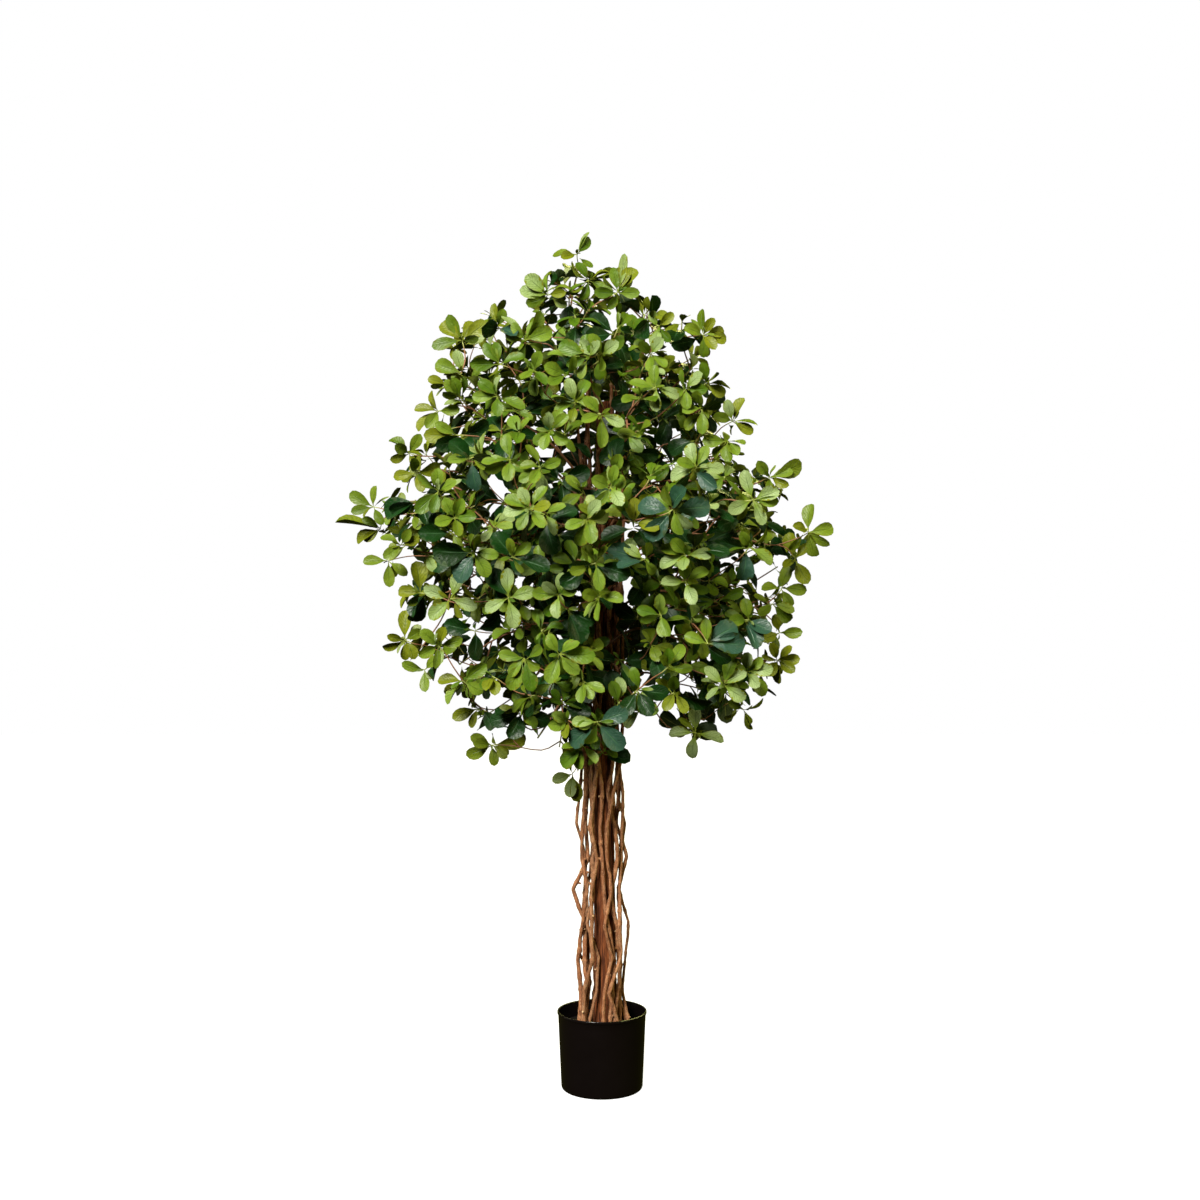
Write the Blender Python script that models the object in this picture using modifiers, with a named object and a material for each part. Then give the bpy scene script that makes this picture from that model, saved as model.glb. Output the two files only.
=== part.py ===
"""Potted banyan tree, 1.5 m tall: a nursery pot with its fill, a trunk core, a bundle of kinked vine sticks
round it, and leafy branches plugged into the trunk. Metres, +Z up, origin under the middle of the pot."""

import math
import random

import bmesh
import bpy
import numpy as np
from mathutils import Matrix, Vector
from mathutils.bvhtree import BVHTree

# Clearance between pieces that touch, and between grown pieces that only pass each other
SEAT_GAP = 0.0003
PASS_GAP = 0.0016

# Pot
POT_HEIGHT = 0.136
POT_RIM_RADIUS = 0.0785
POT_FOOT_RADIUS = 0.0725
POT_WALL = 0.0028  # at the lip; the wall below it is thinner by the lip's overhang
POT_FLOOR = 0.0030
FLOOR_ROUND = 0.0040
LIP_DEPTH = 0.0045
LIP_OVERHANG = 0.0012
EDGE_ROUND = 0.0008
FOOT_ROUND = 0.0060
FOOT_ROUND_STEPS = 3
TURN_STEPS = 30

# Fill
FILL_TOP = 0.111
FILL_CHAMFER = 0.007
FILL_HOLE_SIDES = 6

# Trunk core
TRUNK_FOOT = 0.030
TRUNK_TOP = 1.205
TRUNK_FOOT_RADIUS = 0.0205
TRUNK_TOP_RADIUS = 0.0135
TRUNK_SHIFT = 0.003
TRUNK_WANDER = 0.0025
TRUNK_WAVES = (7.0, 5.0)  # radians of sway to a metre of height, sideways and to the back
TRUNK_RINGS = 8
TRUNK_BEVEL = 4

# Vine sticks
STICK_COUNT = 16
STICK_SEED = 11
STICK_FOOT = 0.050
STICK_FIRST_LEVEL = 0.119
STICK_LEVEL_STEPS = (0.0575, 0.115)  # below the crown and inside it
STICK_LEVELS = (12, 4)
STICK_RADII = (0.0025, 0.0041)
STICK_BEVEL = 1
INNER_RING = 0.0262
OUTER_RING = 0.0340
RING_SPREAD = (-0.002, 0.006)
FOOT_SPREAD = 0.14  # how much wider the rings are at the fill than from the third level up
FOOT_SPREAD_LEVELS = 3
STICK_LEAN = (0.4, 1.9)  # radians round the trunk to a metre of height
LEAN_CENTRE = 0.45  # the height at which the sticks are evenly spread
STICK_KINK = 0.19  # radians round the trunk from level to level
STICK_KNOTS = (0.88, 0.95, 1.08)  # shares of a stick's radius at its levels
STICK_END = (0.10, 0.25)  # how far a stick runs on over its last level, in shares of the last run
STICK_END_TAPER = 0.85
WEAVE_SWEEPS = 240
LEAN_ALLOWANCE = 1.12  # a leaning stick is this much wider where a level cuts it
KNEES = {  # (side of the trunk in degrees, level): distance of the stick from the pot's axis
    (180, 4): 0.0500,
    (180, 6): 0.0440,
    (0, 3): 0.0460,
    (0, 5): 0.0420,
}

# Crown: reach of the twig tips from the axis at each height, on the left and on the right of the front view
CROWN_HEIGHTS = (0.55, 0.59, 0.64, 0.70, 0.76, 0.86, 0.97, 1.03, 1.10, 1.20, 1.33, 1.37, 1.42, 1.515)
CROWN_LEFT = (0.12, 0.225, 0.25, 0.30, 0.36, 0.35, 0.42, 0.42, 0.37, 0.32, 0.285, 0.21, 0.13, 0.03)
CROWN_RIGHT = (0.06, 0.16, 0.25, 0.30, 0.33, 0.32, 0.395, 0.365, 0.28, 0.25, 0.20, 0.17, 0.07, 0.01)
LOWEST_TIP = 0.57

# Main twigs
BRANCH_COUNT = 32
BRANCH_SEED = 300
FIRST_AZIMUTH = math.radians(225)
GOLDEN_ANGLE = math.pi * (3 - math.sqrt(5))
ROOT_LOWEST = 0.665
ROOT_HIGHEST = 1.185
ROOT_SCATTER = 0.03
ROOT_ELEVATIONS = (math.radians(20), math.radians(40))
TOP_ROOT_LIFT = math.radians(25)
SOCKET_DEPTH = 0.008
SOCKET_CUT_LENGTH = 0.038
BUNDLE_REACH = 0.052  # distance from the trunk's axis at which a main twig is past the sticks
TIP_REACH = (1.00, 1.10)
TIP_SWING = 0.12
TIP_ARRIVALS = (math.radians(-25), math.radians(60))  # slope at the tip of the lowest and the highest branch
MAIN_RADII = (0.0026, 0.0014)
MAIN_POINTS = 4
MAIN_SIDES = 4
MAIN_SWAY = 0.006
BOW_PULLS = (0.4, 0.3)  # how strongly the directions at its root and tip bend a main twig
MAIN_TRIES = 400
ROOT_SWING = (0.15, 0.005)  # radians from the wanted direction at the first try, and more with each try

# Side twigs
TWIG_SEED = 700
TWIGS_EACH = 3
TWIG_SIDES = 3
TWIG_RADII = (0.0011, 0.0015, 0.0012)
TWIG_LENGTHS = (0.070, 0.135)
TWIG_STARTS = (0.34, 0.90)
TWIG_FORK = math.radians(57)
TWIG_ELBOW = 0.45
TWIG_BOW = 0.5
TWIG_RISE = (-0.25, 0.35)
TWIG_TRIES = 26
TWIG_TIP_ROOM = 0.030
WIRE_CLEARANCE = 0.006
CROWN_SLACK = 1.08

# Leaves
LEAF_SEED = 900
LEAF_LENGTHS = (0.044, 0.052)
LARGE_LEAF_LENGTHS = (0.056, 0.066)
LARGE_LEAF_SHARE = 0.16
LEAF_WIDTH_SHARE = 0.56
LEAF_THICKNESS = 0.0007
LEAF_OUTLINE = ((0.45, 0.78), (0.83, 0.92), (1.0, 0.0))  # share of the length, share of the half width
LEAF_CURL = math.radians(9)
CURL_SHARES = (0.3, 1.6)
LEAF_SPREADS = (math.radians(46), math.radians(80))
LEAF_ROLL = 0.3
LEAF_SWING = (0.20, 0.03)  # radians from straight out of its side of the twig, and more with each try
LEAF_TRIES = 16
WHORL_BAND = 0.0012
GUARD_START = 0.14
GUARD_NECK = 0.001
GUARD_THICKNESS = 0.0022
WIRE_GUARD = 1.3

# Distances at which points count as one: round a turned shape's axis, and in a tube's cap or a leaf's tip
AXIS_WELD = 0.00005
POINT_WELD = 0.00001

COLOURS = {  # colour and roughness
    "pot": ((0.006, 0.005, 0.005, 1), 0.42),
    "pot_fill": ((0.012, 0.009, 0.007, 1), 0.95),
    "trunk_core": ((0.115, 0.034, 0.018, 1), 0.80),
    "vine": ((0.300, 0.165, 0.085, 1), 0.75),
    "branch": ((0.150, 0.260, 0.050, 1), 0.50),
}


# Objects, materials and meshes


def clear_scene():
    for item in list(bpy.data.objects):
        bpy.data.objects.remove(item, do_unlink=True)


def new_collection(name):
    group = bpy.data.collections.new(name)
    bpy.context.scene.collection.children.link(group)
    return group


def make_material(name):
    colour, roughness = COLOURS[name]
    material = bpy.data.materials.new(name)
    material.use_nodes = True
    shader = material.node_tree.nodes["Principled BSDF"]
    shader.inputs["Base Color"].default_value = colour
    shader.inputs["Roughness"].default_value = roughness
    shader.inputs["Metallic"].default_value = 0.0
    return material


def add_object(name, data, group, material=None):
    item = bpy.data.objects.new(name, data)
    group.objects.link(item)
    if material:
        data.materials.append(material)
    return item


def curve_object(name, points, radii, bevel, group, material=None):
    """A tube along straight runs, as thick at each point as its radius there."""
    curve = bpy.data.curves.new(name, "CURVE")
    curve.dimensions = "3D"
    curve.bevel_depth = 1.0
    curve.bevel_resolution = bevel
    curve.use_fill_caps = True
    spline = curve.splines.new("POLY")
    spline.points.add(len(points) - 1)
    for slot, point, radius in zip(spline.points, points, radii):
        slot.co = (*point, 1.0)
        slot.radius = radius
    return add_object(name, curve, group, material)


def turned_object(name, profile, group, material):
    """A profile of (radius, height) points turned round the Z axis."""
    mesh = bpy.data.meshes.new(name)
    edges = [(n, n + 1) for n in range(len(profile) - 1)]
    mesh.from_pydata([(radius, 0.0, height) for radius, height in profile], edges, [])
    item = add_object(name, mesh, group, material)
    screw = item.modifiers.new("turn", "SCREW")
    screw.steps = screw.render_steps = TURN_STEPS
    screw.use_merge_vertices = True
    screw.merge_threshold = AXIS_WELD
    screw.use_smooth_shade = True
    return item


def face_outwards(shape):
    """Turns every face of a closed shape the same way round, and all of them outwards."""
    bmesh.ops.recalc_face_normals(shape, faces=shape.faces)
    if shape.calc_volume(signed=True) < 0:
        bmesh.ops.reverse_faces(shape, faces=shape.faces)


def as_mesh(item, weld=POINT_WELD):
    """Turns a curve, or an object with modifiers, into a plain closed mesh of the same name."""
    bpy.context.view_layer.update()
    evaluated = item.evaluated_get(bpy.context.evaluated_depsgraph_get())
    mesh = bpy.data.meshes.new_from_object(evaluated)
    shape = bmesh.new()
    shape.from_mesh(mesh)
    bmesh.ops.remove_doubles(shape, verts=shape.verts, dist=weld)
    face_outwards(shape)
    shape.to_mesh(mesh)
    shape.free()
    name, place, home = item.name, item.matrix_world.copy(), item.users_collection[0]
    materials = list(item.data.materials)
    bpy.data.objects.remove(item, do_unlink=True)
    mesh.materials.clear()
    for material in materials:
        mesh.materials.append(material)
    solid = add_object(name, mesh, home)
    solid.matrix_world = place
    return solid


def closed_object(name, shape, group, material=None):
    """Closes what is still open, joins the points that meet in a leaf's tip, and makes an object of it."""
    bmesh.ops.remove_doubles(shape, verts=shape.verts, dist=POINT_WELD)
    bmesh.ops.holes_fill(shape, edges=shape.edges)
    face_outwards(shape)
    mesh = bpy.data.meshes.new(name)
    shape.to_mesh(mesh)
    shape.free()
    return add_object(name, mesh, group, material)


def combine(item, group, operation, solver="EXACT"):
    """One Boolean of the item with all that the group holds; the group's objects are removed after it."""
    for other in group.objects:
        other.hide_render = True
        other.display_type = "WIRE"
    boolean = item.modifiers.new("combine", "BOOLEAN")
    boolean.operand_type = "COLLECTION"
    boolean.collection = group
    boolean.operation = operation
    boolean.solver = solver
    solid = as_mesh(item, weld=0.0)
    for other in list(group.objects):
        bpy.data.objects.remove(other, do_unlink=True)
    bpy.data.collections.remove(group)
    return solid


# Wires drawn out of a small disc, and leaves drawn out of their sides


def pull_face(shape, face, place):
    """Extrudes one face and moves each corner of its new end with place."""
    end = bmesh.ops.extrude_discrete_faces(shape, faces=[face])["faces"][0]
    for corner in end.verts:
        corner.co = place(corner.co.copy())
    return end


def tube_shape(points, radii, sides):
    """A wire through the points, drawn out ring by ring. Returns the shape and the face at its end."""
    shape = bmesh.new()
    bmesh.ops.create_circle(shape, cap_ends=True, segments=sides, radius=radii[0])
    face = list(shape.faces)[0]
    runs = [(after - before).normalized() for before, after in zip(points, points[1:])]
    axes = [runs[0]] + [(one + two).normalized() for one, two in zip(runs, runs[1:])] + [runs[-1]]
    turn = Vector((0, 0, 1)).rotation_difference(axes[0]).to_matrix()
    for corner in face.verts:
        corner.co = points[0] + turn @ corner.co
    for n in range(1, len(points)):
        turn = axes[n - 1].rotation_difference(axes[n]).to_matrix() * (radii[n] / radii[n - 1])
        face = pull_face(shape, face, lambda corner: points[n] + turn @ (corner - points[n - 1]))
    return shape, face


def blade_stations(root, along, up, length, curl):
    """Places along a spoon-shaped blade that curls down: a centre, a half width, and directions across and up."""
    across = up.cross(along)
    bend = Matrix.Rotation(curl, 3, across)
    centre, travelled = root, 0.0
    stations = []
    for share, width in LEAF_OUTLINE:
        along = bend @ along
        up = bend @ up
        centre = centre + along * (share - travelled) * length
        travelled = share
        stations.append((centre, width * length * LEAF_WIDTH_SHARE / 2, across, up))
    return stations


def pull_blade(shape, face, stations):
    """Draws a leaf out of one side of a twig."""
    for centre, half, across, up in stations:
        middle = face.calc_center_median()

        def place(corner):
            side = math.copysign(1.0, (corner - middle).dot(across))
            level = math.copysign(1.0, (corner - middle).dot(up))
            return centre + across * (side * half) + up * (level * LEAF_THICKNESS / 2)

        face = pull_face(shape, face, place)


# Search trees that keep leaves clear of what grew before. Each comes with the ball that holds it


def ball_of(corners):
    middle = sum(corners, Vector()) / len(corners)
    return middle, max((corner - middle).length for corner in corners)


def wire_guard(points, radii):
    shape, _ = tube_shape(points, [radius * WIRE_GUARD for radius in radii], MAIN_SIDES)
    bmesh.ops.holes_fill(shape, edges=shape.edges)
    tree = BVHTree.FromBMesh(shape)
    ball = ball_of([vertex.co.copy() for vertex in shape.verts])
    shape.free()
    return tree, *ball


def blade_guard(root, stations):
    """A blade that is thicker than the real one and starts a little way out from its twig."""
    neck = root.lerp(stations[0][0], GUARD_START / LEAF_OUTLINE[0][0])
    rows = [(neck, GUARD_NECK, *stations[0][2:])] + stations
    corners = []
    for centre, half, across, up in rows:
        half = max(half, GUARD_NECK / 2)
        for side in (-half, half):
            for level in (-GUARD_THICKNESS / 2, GUARD_THICKNESS / 2):
                corners.append(centre + across * side + up * level)
    faces = [(0, 1, 3, 2)]
    for n in range(0, 4 * (len(rows) - 1), 4):
        faces += [(n, n + 4, n + 5, n + 1), (n + 2, n + 3, n + 7, n + 6)]
        faces += [(n + 1, n + 5, n + 7, n + 3), (n, n + 2, n + 6, n + 4)]
    return BVHTree.FromPolygons(corners, faces), *ball_of(corners)


def is_clear(tree, middle, radius, guards):
    return not any((centre - middle).length < size + radius and tree.overlap(other)
                   for other, centre, size in guards)


# Pot and fill


def taper_radius(height):
    return POT_FOOT_RADIUS + (POT_RIM_RADIUS - POT_FOOT_RADIUS) * height / POT_HEIGHT


def pot_profile():
    """From the middle of the floor up the inside, over the lip and down the outside."""
    inner_foot = taper_radius(POT_FLOOR) - POT_WALL
    inner_rim = POT_RIM_RADIUS - POT_WALL
    lip_foot = POT_HEIGHT - LIP_DEPTH
    profile = [
        (0.0, POT_FLOOR),
        (inner_foot - FLOOR_ROUND, POT_FLOOR),
        (inner_foot, POT_FLOOR + FLOOR_ROUND),
        (inner_rim, POT_HEIGHT - EDGE_ROUND),
        (inner_rim + EDGE_ROUND, POT_HEIGHT),
        (POT_RIM_RADIUS - EDGE_ROUND, POT_HEIGHT),
        (POT_RIM_RADIUS, POT_HEIGHT - EDGE_ROUND),
        (POT_RIM_RADIUS, lip_foot),
        (taper_radius(lip_foot) - LIP_OVERHANG, lip_foot - EDGE_ROUND),
    ]
    wall = taper_radius(FOOT_ROUND) - LIP_OVERHANG
    for step in range(FOOT_ROUND_STEPS + 1):
        angle = step / FOOT_ROUND_STEPS * math.pi / 2
        profile.append((wall - FOOT_ROUND * (1 - math.cos(angle)), FOOT_ROUND * (1 - math.sin(angle))))
    return profile + [(0.0, 0.0)]


def inner_radius(height):
    """Radius of the pot's straight inside wall."""
    low, high = POT_FLOOR + FLOOR_ROUND, POT_HEIGHT - EDGE_ROUND
    share = (height - low) / (high - low)
    return taper_radius(POT_FLOOR) - POT_WALL + (POT_RIM_RADIUS - taper_radius(POT_FLOOR)) * share


def fill_profile():
    foot = POT_FLOOR + SEAT_GAP
    chamfer = foot + FILL_CHAMFER
    return [
        (0.0, FILL_TOP),
        (inner_radius(FILL_TOP) - SEAT_GAP, FILL_TOP),
        (inner_radius(chamfer) - SEAT_GAP, chamfer),
        (inner_radius(chamfer) - FILL_CHAMFER, foot),
        (0.0, foot),
    ]


def build_pot(group):
    turned_object("pot", pot_profile(), group, make_material("pot"))


def build_fill(group, sticks):
    """The fill, with an upright hole for the trunk and for the foot of each stick."""
    fill = turned_object("pot_fill", fill_profile(), group, make_material("pot_fill"))
    holes = new_collection("fill_holes")
    points, radii = trunk_route()
    run = [points[0] - Vector((0, 0, SEAT_GAP)), points[1] + Vector((0, 0, SEAT_GAP))]
    wide = (radii[0] + SEAT_GAP) / math.cos(math.pi / (4 + 2 * TRUNK_BEVEL))
    as_mesh(curve_object("trunk_hole", run, [wide, wide], TRUNK_BEVEL, holes))
    for index, (points, radii) in enumerate(sticks):
        foot = points[0] - Vector((0, 0, SEAT_GAP))
        depth = points[1].z - foot.z
        wide = (radii[0] + SEAT_GAP) / math.cos(math.pi / FILL_HOLE_SIDES)
        middle = foot + Vector((0, 0, depth / 2))
        bpy.ops.mesh.primitive_cylinder_add(vertices=FILL_HOLE_SIDES, radius=wide, depth=depth)
        bpy.context.object.location = middle
        hole = bpy.context.object
        hole.name = f"stick_hole_{index + 1:02d}"
        hole.users_collection[0].objects.unlink(hole)
        holes.objects.link(hole)
    combine(fill, holes, "DIFFERENCE")


# Trunk core


def trunk_middle(height):
    """The trunk's centre at a height: it stands a little right of the pot's axis and wanders gently."""
    sideways, back = TRUNK_WAVES
    return Vector((TRUNK_SHIFT + TRUNK_WANDER * math.sin(height * sideways),
                   TRUNK_WANDER * (math.cos(height * back) - 1), height))


def trunk_radius(height):
    share = (height - TRUNK_FOOT) / (TRUNK_TOP - TRUNK_FOOT)
    return TRUNK_FOOT_RADIUS + (TRUNK_TOP_RADIUS - TRUNK_FOOT_RADIUS) * share


def trunk_route():
    """The trunk's points and radii; its foot is upright in the fill."""
    heights = [TRUNK_FOOT] + list(np.linspace(STICK_FIRST_LEVEL, TRUNK_TOP, TRUNK_RINGS - 1))
    points = [trunk_middle(height) for height in heights]
    points[0].xy = points[1].xy
    return points, [trunk_radius(height) for height in heights]


def build_trunk(group, mains):
    """The trunk, with a socket for the root of each main twig."""
    material = make_material("trunk_core")
    trunk = as_mesh(curve_object("trunk_core", *trunk_route(), TRUNK_BEVEL, group, material))
    sockets = new_collection("trunk_sockets")
    for index, (points, radii) in enumerate(mains):
        lead = (points[1] - points[0]).normalized()
        run = [points[0] - lead * SEAT_GAP, points[0] + lead * SOCKET_CUT_LENGTH]
        wide = radii[0] + SEAT_GAP / math.cos(math.pi / MAIN_SIDES)
        shape, _ = tube_shape(run, [wide, wide], MAIN_SIDES)
        closed_object(f"socket_{index + 1:02d}", shape, sockets)
    trunk = combine(trunk, sockets, "DIFFERENCE")
    trunk.data.shade_smooth()
    trunk.data.set_sharp_from_angle(angle=math.radians(40))


# Vine sticks


def closest_pass(first, second):
    """Where two points that move evenly between levels come nearest: share of the way, offset, distance."""
    start = first[:-1] - second[:-1]
    change = (first[1:] - second[1:]) - start
    length = np.maximum((change * change).sum(axis=1), 1e-12)
    share = np.clip(-(start * change).sum(axis=1) / length, 0.0, 1.0)
    offset = start + change * share[:, None]
    distance = np.maximum(np.linalg.norm(offset, axis=1), 1e-9)
    return share, offset, distance


def push_apart(first, second, needed, first_share):
    """Moves two sticks apart where they pass too near; first_share is how much of it the first one moves."""
    share, offset, distance = closest_pass(first, second)
    short = np.maximum(needed - distance, 0.0)
    push = offset / distance[:, None] * (short / ((1 - share) ** 2 + share ** 2))[:, None]
    for target, part in ((first, first_share), (second, first_share - 1.0)):
        target[:-1] += push * ((1 - share) * part)[:, None]
        target[1:] += push * (share * part)[:, None]


def stick_heights():
    low, high = STICK_LEVELS
    heights = [STICK_FIRST_LEVEL + STICK_LEVEL_STEPS[0] * n for n in range(low)]
    return np.array(heights + [heights[-1] + STICK_LEVEL_STEPS[1] * (n + 1) for n in range(high)])


def bend_knees(spots):
    """Moves the stick that is nearest to each knee's side out to the knee's distance."""
    for (side, level), distance in KNEES.items():
        goal = math.radians(side)
        angles = [math.atan2(spot[level][1], spot[level][0]) for spot in spots]
        turns = [abs(math.remainder(angle - goal, math.tau)) for angle in angles]
        nearest = turns.index(min(turns))
        spots[nearest][level] = (distance * math.cos(goal), distance * math.sin(goal))


def weave_sticks():
    """Sticks in an inner and an outer ring that lean opposite ways, eased apart until none touches."""
    rng = random.Random(STICK_SEED)
    heights = stick_heights()
    spots, radii = [], []
    for index in range(STICK_COUNT):
        outer = index % 2
        start = math.tau * index / STICK_COUNT
        lean = (1 if outer else -1) * rng.uniform(*STICK_LEAN)
        ring = OUTER_RING if outer else INNER_RING
        walk = []
        for level, height in enumerate(heights):
            angle = start + lean * (height - LEAN_CENTRE) + rng.gauss(0.0, STICK_KINK)
            widening = 1 + FOOT_SPREAD * max(1 - level / FOOT_SPREAD_LEVELS, 0)
            distance = ring * widening + rng.uniform(*RING_SPREAD)
            walk.append((distance * math.cos(angle), distance * math.sin(angle)))
        spots.append(np.array(walk))
        radii.append(rng.uniform(*STICK_RADII))
    bend_knees(spots)
    trunk = np.array([trunk_middle(height).xy[:] for height in heights])
    trunk_radii = np.array([trunk_radius(height) for height in heights[:-1]])
    for _ in range(WEAVE_SWEEPS):
        for first in range(STICK_COUNT):
            wide = radii[first] * LEAN_ALLOWANCE + PASS_GAP
            push_apart(spots[first], trunk.copy(), trunk_radii + wide, 1.0)
            for second in range(first):
                push_apart(spots[first], spots[second], wide + radii[second] * LEAN_ALLOWANCE, 0.5)
    return heights, spots, radii


def stick_routes():
    """Each stick's points and radii: an upright foot in the fill, a point on each level, and a cut end."""
    heights, spots, thickness = weave_sticks()
    rng = random.Random(STICK_SEED + 1)
    routes = []
    for spot, radius in zip(spots, thickness):
        levels = len(heights) if rng.random() < 0.5 else len(heights) - rng.randint(1, 3)
        points = [Vector((*spot[0], STICK_FOOT))]
        points += [Vector((*spot[n], heights[n])) for n in range(levels)]
        points.append(points[-1] + (points[-1] - points[-2]) * rng.uniform(*STICK_END))
        radii = [radius, radius]
        radii += [radius * rng.choice(STICK_KNOTS) for _ in range(levels - 1)]
        radii.append(radius * STICK_END_TAPER)
        routes.append((points, radii))
    return routes


def build_sticks(group, sticks):
    material = make_material("vine")
    for index, (points, radii) in enumerate(sticks):
        curve_object(f"vine_{index + 1:02d}", points, radii, STICK_BEVEL, group, material)


# The room that is left, as close points with radii


def sampled(points, radii, step=0.004):
    rows = []
    for n in range(len(points) - 1):
        count = max(int((points[n + 1] - points[n]).length / step), 1)
        for m in range(count + (n == len(points) - 2)):
            share = m / count
            rows.append((*points[n].lerp(points[n + 1], share), radii[n] + (radii[n + 1] - radii[n]) * share))
    return np.array(rows)


class Space:
    """What has grown so far, so that new wires keep clear of it."""

    reach = 0.03

    def __init__(self):
        self.rows = np.zeros((0, 4))
        self.owners = np.zeros(0, dtype=int)

    def add(self, rows, owner):
        self.rows = np.vstack((self.rows, rows))
        self.owners = np.append(self.owners, np.full(len(rows), owner))

    def clearance(self, rows, owner):
        """The least gap between the new rows and what others own, or the reach where that is less."""
        low = rows[:, :3].min(axis=0) - self.reach
        high = rows[:, :3].max(axis=0) + self.reach
        inside = ((self.rows[:, :3] > low) & (self.rows[:, :3] < high)).all(axis=1)
        others = self.rows[inside & (self.owners != owner)]
        if not len(others):
            return self.reach
        away = np.linalg.norm(rows[:, None, :3] - others[None, :, :3], axis=2)
        return float((away - rows[:, None, 3] - others[None, :, 3]).min())


# Main twigs and side twigs


def around(azimuth, elevation):
    level = math.cos(elevation)
    return Vector((math.cos(azimuth) * level, math.sin(azimuth) * level, math.sin(elevation)))


def crown_reach(height, azimuth):
    left = float(np.interp(height, CROWN_HEIGHTS, CROWN_LEFT))
    right = float(np.interp(height, CROWN_HEIGHTS, CROWN_RIGHT))
    return (left + right) / 2 + (right - left) / 2 * math.cos(azimuth)


def inside_crown(point):
    if not CROWN_HEIGHTS[0] < point.z < CROWN_HEIGHTS[-1]:
        return False
    return math.hypot(point.x, point.y) < crown_reach(point.z, math.atan2(point.y, point.x)) * CROWN_SLACK


def tip_heights():
    """Heights that share the crown's surface out evenly among the branches."""
    heights = np.linspace(LOWEST_TIP, CROWN_HEIGHTS[-1], 200)
    reach = np.array([crown_reach(height, math.pi / 2) for height in heights])
    area = np.cumsum(reach * np.hypot(1.0, np.gradient(reach, heights)))
    return np.interp(np.linspace(0.012, 0.997, BRANCH_COUNT) * area[-1], area, heights)


def bowed_route(start, lead, tip, arrival, rng):
    """Points on a bow from start to tip, each but the last moved a little, as on a kinked twig."""
    length = (tip - start).length
    first = start + lead * length * BOW_PULLS[0]
    last = tip - arrival * length * BOW_PULLS[1]
    points = []
    for n in range(1, MAIN_POINTS + 1):
        t = n / MAIN_POINTS
        outer = start * (1 - t) ** 3 + tip * t ** 3
        point = outer + (first * (1 - t) + last * t) * (3 * t * (1 - t))
        if n < MAIN_POINTS:
            point += Vector([rng.uniform(-MAIN_SWAY, MAIN_SWAY) for _ in range(3)])
        points.append(point)
    return points


def main_twig(height, rise, wanted, swing, rng):
    """One try at a main twig: out of the trunk between the sticks, then on a bow to the crown's edge."""
    azimuth = wanted + rng.uniform(-swing, swing)
    elevation = rng.uniform(*ROOT_ELEVATIONS) + TOP_ROOT_LIFT * rise
    root_height = ROOT_LOWEST + (ROOT_HIGHEST - ROOT_LOWEST) * rise + rng.uniform(-ROOT_SCATTER, ROOT_SCATTER)
    root_height = min(max(root_height, ROOT_LOWEST), ROOT_HIGHEST)
    lead = around(azimuth, elevation)
    middle = trunk_middle(root_height)
    root = middle + lead * ((trunk_radius(root_height) - SOCKET_DEPTH) / math.cos(elevation))
    outside = middle + lead * (BUNDLE_REACH / math.cos(elevation))
    tip_azimuth = wanted + rng.uniform(-TIP_SWING, TIP_SWING)
    reach = crown_reach(height, tip_azimuth) * rng.uniform(*TIP_REACH)
    tip = Vector((reach * math.cos(tip_azimuth), reach * math.sin(tip_azimuth), height))
    arrival = around(tip_azimuth, TIP_ARRIVALS[0] + (TIP_ARRIVALS[1] - TIP_ARRIVALS[0]) * rise)
    points = [root, outside] + bowed_route(outside, lead, tip, arrival, rng)
    return points, list(np.linspace(*MAIN_RADII, len(points)))


def grow_mains(space):
    """One main twig for each branch. Each takes the first way out of the bundle that is clear."""
    mains = []
    low, high = CROWN_HEIGHTS[0], CROWN_HEIGHTS[-1]
    for index, height in enumerate(tip_heights()):
        rng = random.Random(BRANCH_SEED + index)
        for attempt in range(MAIN_TRIES):
            swing = ROOT_SWING[0] + ROOT_SWING[1] * attempt
            wanted = FIRST_AZIMUTH + index * GOLDEN_ANGLE
            route = main_twig(height, (height - low) / (high - low), wanted, swing, rng)
            rows = sampled(*route)
            if space.clearance(rows, STICK_COUNT + 1 + index) > PASS_GAP:
                space.add(rows, STICK_COUNT + 1 + index)
                mains.append(route)
                break
    return mains


def point_on(points, share):
    """The point at a share of a route's length, and the direction there."""
    lengths = [(after - before).length for before, after in zip(points, points[1:])]
    left = share * sum(lengths)
    for n, length in enumerate(lengths):
        if left <= length:
            return points[n].lerp(points[n + 1], left / length), (points[n + 1] - points[n]).normalized()
        left -= length
    return points[-1], (points[-1] - points[-2]).normalized()


def side_twig(main, rng):
    start, along = point_on(main[0], rng.uniform(*TWIG_STARTS))
    side = Matrix.Rotation(rng.uniform(0, math.tau), 3, along) @ along.orthogonal().normalized()
    lead = along * math.cos(TWIG_FORK) + side * math.sin(TWIG_FORK)
    length = rng.uniform(*TWIG_LENGTHS)
    bow = (lead + along * TWIG_BOW + Vector((0, 0, rng.uniform(*TWIG_RISE)))).normalized()
    elbow = start + lead * length * TWIG_ELBOW
    return [start, elbow, elbow + bow * length * (1 - TWIG_ELBOW)], list(TWIG_RADII)


def best_twig(main, owner, space, tips, rng):
    """Of the tries that are clear, the side twig whose tip lies furthest from the tips that are there."""
    best, best_room = None, TWIG_TIP_ROOM
    for _ in range(TWIG_TRIES):
        twig = side_twig(main, rng)
        tip = twig[0][-1]
        room = min((tip - other).length for other in tips)
        if not inside_crown(tip) or room < best_room:
            continue
        own = space.rows[space.owners == owner]
        if np.linalg.norm(own[:, :3] - np.array(tip), axis=1).min() < TWIG_TIP_ROOM:
            continue
        if space.clearance(sampled(*twig), owner) > WIRE_CLEARANCE:
            best, best_room = twig, room
    return best


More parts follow.
